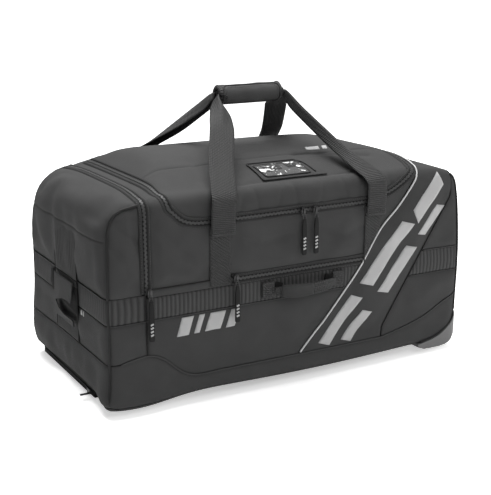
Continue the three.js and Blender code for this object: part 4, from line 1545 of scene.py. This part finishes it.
def zip_pull(pull, x, z, length):
    """Link, cord and moulded tab with four light dashes, hanging from a slider."""
    top, bottom = z - 14, z - 9 - length
    tab = [
        *((x - 3.2, top), (x + 3.2, top), (x + 4.4, top - 8), (x + 5.4, top - 14)),
        *arc(x + 1.8, bottom + 4, 3.8, 0, -90, 4),
        *arc(x - 1.8, bottom + 4, 3.8, -90, -180, 4),
        *((x - 5.4, top - 14), (x - 4.4, top - 8)),
    ]
    cord = [(x - 1.3, top + 3), (x - 2.6, top - 16), (x + 2.6, top - 16), (x + 1.3, top + 3)]
    link = rounded_box(x - 3.0, x + 3.0, z - 16, z - 4, 2.9, 4)
    ring_tube(f"{pull}_link", link, -9.9, 0.95, "slider", pull)
    extrude(f"{pull}_tab", tab, -12.2, -8.8, "pull", pull, 1.2, (pull,))
    ring_tube(f"{pull}_cord", cord, -10.5, 1.3, "cord", pull)
    dashes = np.array([(x, -12.25, bottom + 14 + rise) for rise in (0, 7, 14, 21)])
    axes = [np.tile(axis, (4, 1)) for axis in ([0.94, 0, 0.34], [-0.34, 0, 0.94], [0.0, -1, 0])]
    boxes(f"{pull}_dashes", dashes, *axes, (3.1, 1.7, 0.25), "print", pull)


def pulls():
    for name, length in PULL_LENGTHS.items():
        x, _, z = sum(box_mm(f"{name}_slider")) / 2
        zip_slider(f"{name}_slider", x, z)
        zip_pull(f"{name}_pull", x, z, length)


# Handles.


def side_handle(side):
    """Webbing handle sewn on the band, with a padded sleeve over its pull-end half."""
    node = f"side_handle_{side}"
    (x0, _, z0), (x1, _, z1) = box_mm(node)
    z = (z0 + z1) / 2
    outward, wall = (-1, 0.0) if side == "front" else (1, WIDTH)
    count = 45
    t = np.linspace(0, 1, count)
    rise = np.sin(np.pi / 2 * np.clip(np.minimum(t, 1 - t) * 3.4, 0, 1))
    y = wall + outward * (8.2 + 11.5 * rise)
    points = np.stack([np.linspace(x0 - 2, x1 + 2, count), y, z - 5 * np.sin(np.pi * t) - 2], -1)
    _, across, up = frames(points, np.tile([0.0, outward, 0], (count, 1)))
    rows = [flat_profile(25 - 12 * (1 - r), 3.0) for r in rise]
    sweep(f"{node}_webbing", points, across, up, rows, "webbing", node, (node,))
    sleeve, bare = slice(4, 26), slice(26, 41)
    puffs = np.sin(np.pi * np.linspace(0.06, 0.94, 22)) ** 0.35
    pad = [[(a * (0.86 + 0.26 * p), b * 3.4 * p) for a, b in flat_profile(24, 3.0)] for p in puffs]
    raised = points + 0.4 * up
    sweep(f"{node}_sleeve", raised[sleeve], across[sleeve], up[sleeve], pad, "binding", node)
    edges = [((points + 1.9 * up + s * 9.5 * across)[bare], up[bare]) for s in (-1, 0.1, 1)]
    stitches(f"{node}_stitch", edges, node)
    handle_mounts(node, x0, x1, z, wall, outward)


def handle_mounts(node, left, right, z, wall, outward):
    """Sewn plates at a handle's two ends, and near-black patches of painted shade in the hollows of the cloth
    behind it.
    """
    back, plate_y, hollow_y = wall - outward * 1.0, wall + outward * 2.4, wall + outward * 1.7
    legs = ((0, 1), (1, 2), (2, 3), (3, 0), (0, 2), (1, 3))
    for tag, x0, x1 in (("left", left - 26, left + 2), ("right", right - 2, right + 26)):
        plate = rounded_box(x0, x1, z - 17, z + 15, 1.5, 2)
        extrude(f"{node}_mount_{tag}", plate, *sorted((back, plate_y)), "webbing", "bag", 0.8)
        c = [(x0 + 3, z - 14), (x1 - 3, z - 14), (x1 - 3, z + 12), (x0 + 3, z + 12)]
        stitches(f"{node}_box_{tag}", [flat_line(c[a], c[b], plate_y, outward) for a, b in legs], "bag")
    # Painted shade: near-black patches where the cloth behind the handle is hollow.
    for tag, x, reach in (("left", left + 12, 13), ("right", right - 12, 12)):
        hollow = [(x + a * reach, z + b) for a, b in ((-1, -8), (0, -17), (1, -6), (0.7, 9), (-0.5, 13))]
        extrude(f"{node}_hollow_{tag}", hollow, *sorted((back, hollow_y)), "inside", "bag", 0.8)


STRIP_NEAR, STRIP_FAR = PULL_Y - 66, PULL_Y + 55


def pull_strip():
    """Ribbed strip up the middle of the pull end: a fixed part and a part on the end flap."""
    look = {"ribs": (1, STRIP_RIB, 1.1), "puff": 0.8, "relief": 0.9, "sunk": 1.6}
    for tag, low, high, base, cord, body in (
        ("low", 88, FLAP_LOW, 3.4, (88, FLAP_LOW), "bag"),
        ("top", FLAP_LOW + 0.5, 318, 3.6, (FLAP_LOW + 1, 317), FLAP_BEND),
    ):
        outline = [(low, STRIP_NEAR), (low, STRIP_FAR), (high, STRIP_FAR), (high, STRIP_NEAR)]
        cloth(f"end_strip_{tag}", pull_chart, outline, "ribbed_strip", body, base=base, **look)
        for rim, y in (("near", STRIP_NEAR), ("far", STRIP_FAR)):
            line = [(w, y) for w in cord]
            piping(f"strip_edge_{tag}_{rim}", pull_chart, line, 1.1, base - 0.8, "cord", body)


def hand_openings():
    """Sheets painted near-black as the shade in the hollows beside the pull handle, where a hand goes in."""
    low, high = PULL_Z
    far = [(low + 42, 2), (high + 4, 8), (high - 2, 26), (low + 54, 32), (low + 38, 18)]
    far = [(w, STRIP_FAR + d) for w, d in far]
    near = [(low + 22, STRIP_NEAR - 4), (high - 6, STRIP_NEAR - 5)]
    near += [(high - 4, PULL_Y), (high - 22, PULL_Y + 30), (low + 30, PULL_Y + 24)]
    look = {"step": 6, "base": 5.2, "puff": 0, "relief": 0.9, "thickness": 0.8}
    for tag, outline in (("near", near), ("far", far)):
        cloth(f"hand_opening_{tag}", pull_chart, outline, "inside", **look)


def pull_handle():
    """Ribbed web that bulges from the strip, open on its near side."""
    low, high = PULL_Z
    y0, y1 = STRIP_NEAR, PULL_Y + 42
    notch = [
        *((high - 36, y0 - 1), (high - 34, y0 + 16), (high - 38, PULL_Y - 14), (high - 48, PULL_Y + 20)),
        *((low + 30, PULL_Y + 34), (low + 20, PULL_Y + 10), (low + 13, PULL_Y - 24), (low + 14, y0 - 1)),
    ]
    outline = [(high + 3, y1), (high + 3, y0 + 4), *notch, (low - 2, y0 + 4), (low - 2, y1)]
    q, faces = triangulate(outline, 3.6)
    bulge = 4.0 * np.sin(np.pi * np.clip((q[:, 0] - low + 2) / (high - low + 5), 0, 1))
    mouth = 3.2 * np.exp(-distance_to_line(q, notch, False) / 7)
    rib = 0.8 * np.abs(np.sin(np.pi * q[:, 1] / STRIP_RIB))
    wide = 1 - 0.7 * smoothstep((q[:, 1] - PULL_Y) / 42)
    verts = np.stack([-6.2 - bulge * wide - mouth * wide - rib, q[:, 1], q[:, 0]], -1)
    faces = facing(verts, faces, np.tile([-1.0, 0, 0], (len(q), 1)))
    thicken(make("pull_handle_web", verts, faces, "ribbed_strip", "pull_handle", q, ("pull_handle",)), 2.2)


# Document pocket on the lid.

POCKET_LEAN = 13


def id_outlines():
    """Outlines of the pocket's cloth, card, dark blocks and window, and its open binding lines."""
    low, high = box_mm("id_frame")
    x0, x1, v0, v1 = low[0] + 20, high[0] - 15, top_v(low[1] - 15), top_v(high[1] - 50)
    shapes = {
        "field": [
            *((x0 - 4, v0), (x1 + 14, v0), (x1 + 2, v0 + 12)),
            *((x1 + 2, v1 - 14), (x1 - 12, v1), (x0 + 2, v1)),
        ],
        "card": rounded_box(x0 + 9, x1 - 8, v0 + 9, v1 - 9, 4, 3),
        "block_left": [(x0 + 26, v0 + 24), (x0 + 62, v0 + 30), (x0 + 66, v1 - 14), (x0 + 22, v1 - 14)],
        "block_right": [(x0 + 78, v1 - 30), (x0 + 108, v1 - 28), (x0 + 104, v1 - 14), (x0 + 76, v1 - 14)],
        "pane": rounded_box(x0 + 8, x1 - 7, v0 + 8, v1 - 8, 4, 3),
        "front": [(x0 - 4, v0), (x1 + 22, v0 - 1)],
        "left": [(x0 - 4, v0), (x0 + 2, v1)],
        "back": [(x0 + 2, v1), (x1 - 12, v1), (x1 + 2, v1 - 14), (x1 + 4, v0 + 10)],
    }
    slope = POCKET_LEAN / (v1 - v0)
    return {name: [(x - slope * (v - v0), v) for x, v in line] for name, line in shapes.items()}


def id_pocket():
    panel = PANELS["lid_cloth"]
    shapes = id_outlines()
    blocks = [shapes["block_left"], shapes["block_right"]]
    decal("id_backing", panel, [shapes["field"]], "fabric", "lid", 1.4, 8)
    decal("id_card", panel, [shapes["card"]], "card", "lid", 1.9, 8)
    decal("id_card_blocks", panel, blocks, "inside", "lid", 2.3, 8)
    q, faces = triangulate(shapes["pane"], 4)
    points, normals = panel.place(q, 2.9)
    waves = np.array([noise.noise(Vector((a / 16, b / 9, 3))) for a, b in q])
    lift = smoothstep(distance_to_line(q, shapes["pane"]) / 8) * (1.2 + 1.6 * waves)
    points = points + lift[:, None] * normals
    make("id_film", points, facing(points, faces, normals), "window", "lid", q, ("id_window",))
    window = [*shapes["card"], shapes["card"][0]]
    for tag, line, radius, nodes in (
        ("window", window, 1.7, ("id_frame",)),
        ("front", shapes["front"], 1.9, ()),
        ("left", shapes["left"], 1.6, ()),
        ("back", shapes["back"], 1.6, ()),
    ):
        placed = panel.place(resample(line, 5, False), 2.4)
        tube(f"id_binding_{tag}", *placed, ring(radius, 8, 0.8), "binding", "lid", nodes)


# Guards, wheels and foot keep their CAD pieces, softened and finished.


def node_finish(node, finish, bevel):
    obj = bpy.data.objects[node]
    obj.data.materials.clear()
    paint(obj, finish)
    soften(obj, bevel, 3)


NODE_LOOKS = {
    "base_board": ("board", 0.8),
    "base_skid": ("board", 1.2),
    "foot_sleeve": ("zip", 1.2),
    "foot_core": ("board", 0.5),
    "foot_zip_chain": ("zip", 0.3),
    "foot_slider": ("slider", 0.8),
    "foot_pull": ("slider", 0.8),
    "front_pocket_lining": ("band", 0.5),
}
SIDE_NODE_LOOKS = {
    "wheel_housing_{}": ("guard", 1.2),
    "tyre_{}": ("tyre", 1.0),
    "wheel_hub_{}": ("hub", 0.5),
    "wheel_bearing_{}": ("steel", 0.3),
    "wheel_axle_{}": ("steel", 0.5),
    "{}_grip_strap": ("dark_webbing", 2.5),
}


def hard_parts():
    looks = dict(NODE_LOOKS)
    for side in ("front", "rear"):
        looks |= {node.format(side): look for node, look in SIDE_NODE_LOOKS.items()}
    for node, (finish, bevel) in looks.items():
        node_finish(node, finish, bevel)


zips()
seams()
prints()
for loop_side in ("front", "rear"):
    for loop_end, strap, grip_x in (("left", STRAP_LEFT, GRIP_X[0]), ("right", STRAP_RIGHT, GRIP_X[1])):
        strap_foot(loop_side, loop_end, sum(strap) / 2)
        carry_strap(loop_side, loop_end, sum(strap) / 2, grip_x)
    side_handle(loop_side)
grip()
pulls()
pull_strip()
hand_openings()
pull_handle()
id_pocket()
hard_parts()


# Camera, light and floor.


def side_ramp(tree, place, values):
    """A value that grows along x; values are two places and the results there."""
    parts = tree.nodes.new("ShaderNodeSeparateXYZ")
    ramp = tree.nodes.new("ShaderNodeMapRange")
    tree.links.new(place, parts.inputs[0])
    tree.links.new(parts.outputs[0], ramp.inputs["Value"])
    for key, value in zip(("From Min", "From Max", "To Min", "To Max"), values):
        ramp.inputs[key].default_value = value
    return ramp.outputs[0]


def floor_finish():
    """Matt white paint that gives off a little light, so that it reads as a plain pale sweep: seen from the
    camera its glow grows with the distance from the middle and fades the bag's shadow as painted light, and
    the light it gives the bag is weaker towards the pull end.
    """
    n = Nodes("floor_paint", linear(250), 0.8)
    place = n.object_place()
    far = n.add("ShaderNodeVectorMath", operation="LENGTH")
    n.link(place, far.inputs[0])
    # Painted light: the floor's own glow, weakest near the bag, lightens the bag's shadow.
    glow = n.math("MINIMUM", n.math("ADD", n.math("MULTIPLY", far.outputs["Value"], 0.45), 0.35), 1.1)
    seen = n.add("ShaderNodeLightPath").outputs["Is Camera Ray"]
    lit = n.math("MAXIMUM", seen, side_ramp(n.tree, place, (-0.9, 0.3, 0.15, 0.62)))
    n.shader.inputs["Emission Color"].default_value = (1, 1, 1, 1)
    n.link(n.math("MULTIPLY", glow, lit), n.shader.inputs["Emission Strength"])
    return n.material


def placed(name, data, location, forward):
    """Object at a place whose own -Z axis points forward."""
    obj = bpy.data.objects.new(name, data)
    obj.location = location
    obj.rotation_euler = forward.to_track_quat("-Z", "Y").to_euler()
    bpy.context.scene.collection.objects.link(obj)
    return obj


def camera():
    data = bpy.data.cameras.new("camera")
    data.lens = 78.1
    data.clip_end = 400
    forward = Vector((0.4695, 0.8437, -0.2605))
    bpy.context.scene.camera = placed("camera", data, (-1.100, -1.983, 0.846), forward)


def surroundings():
    """White sky, darker towards the pull end."""
    world = bpy.data.worlds.new("studio")
    world.use_nodes = True
    tree = world.node_tree
    sky = tree.nodes["Background"]
    sky.inputs[0].default_value = (1, 1, 1, 1)
    place = tree.nodes.new("ShaderNodeTexCoord").outputs["Generated"]
    tree.links.new(side_ramp(tree, place, (-1.0, 1.0, 0.05, 0.5)), sky.inputs[1])
    bpy.context.scene.world = world


def lamps():
    aim = Vector((0, 0, 0.25))
    for name, place, size, power in (
        ("key", (0.1, -2.6, 2.3), 1.2, 22),
        ("fill", (2.9, -1.3, 1.2), 1.2, 17),
        ("top", (-0.05, 0.5, 2.6), 2.0, 128),
    ):
        lamp = bpy.data.lights.new(name, "AREA")
        lamp.size = size
        lamp.energy = power
        placed(name, lamp, place, aim - Vector(place))


def floor():
    bpy.ops.mesh.primitive_plane_add(size=200, location=(0, 0, 0))
    plane = bpy.context.object
    plane.name = "floor"
    plane.data.materials.append(floor_finish())


bpy.context.scene.view_settings.view_transform = "Standard"
camera()
surroundings()
lamps()
floor()
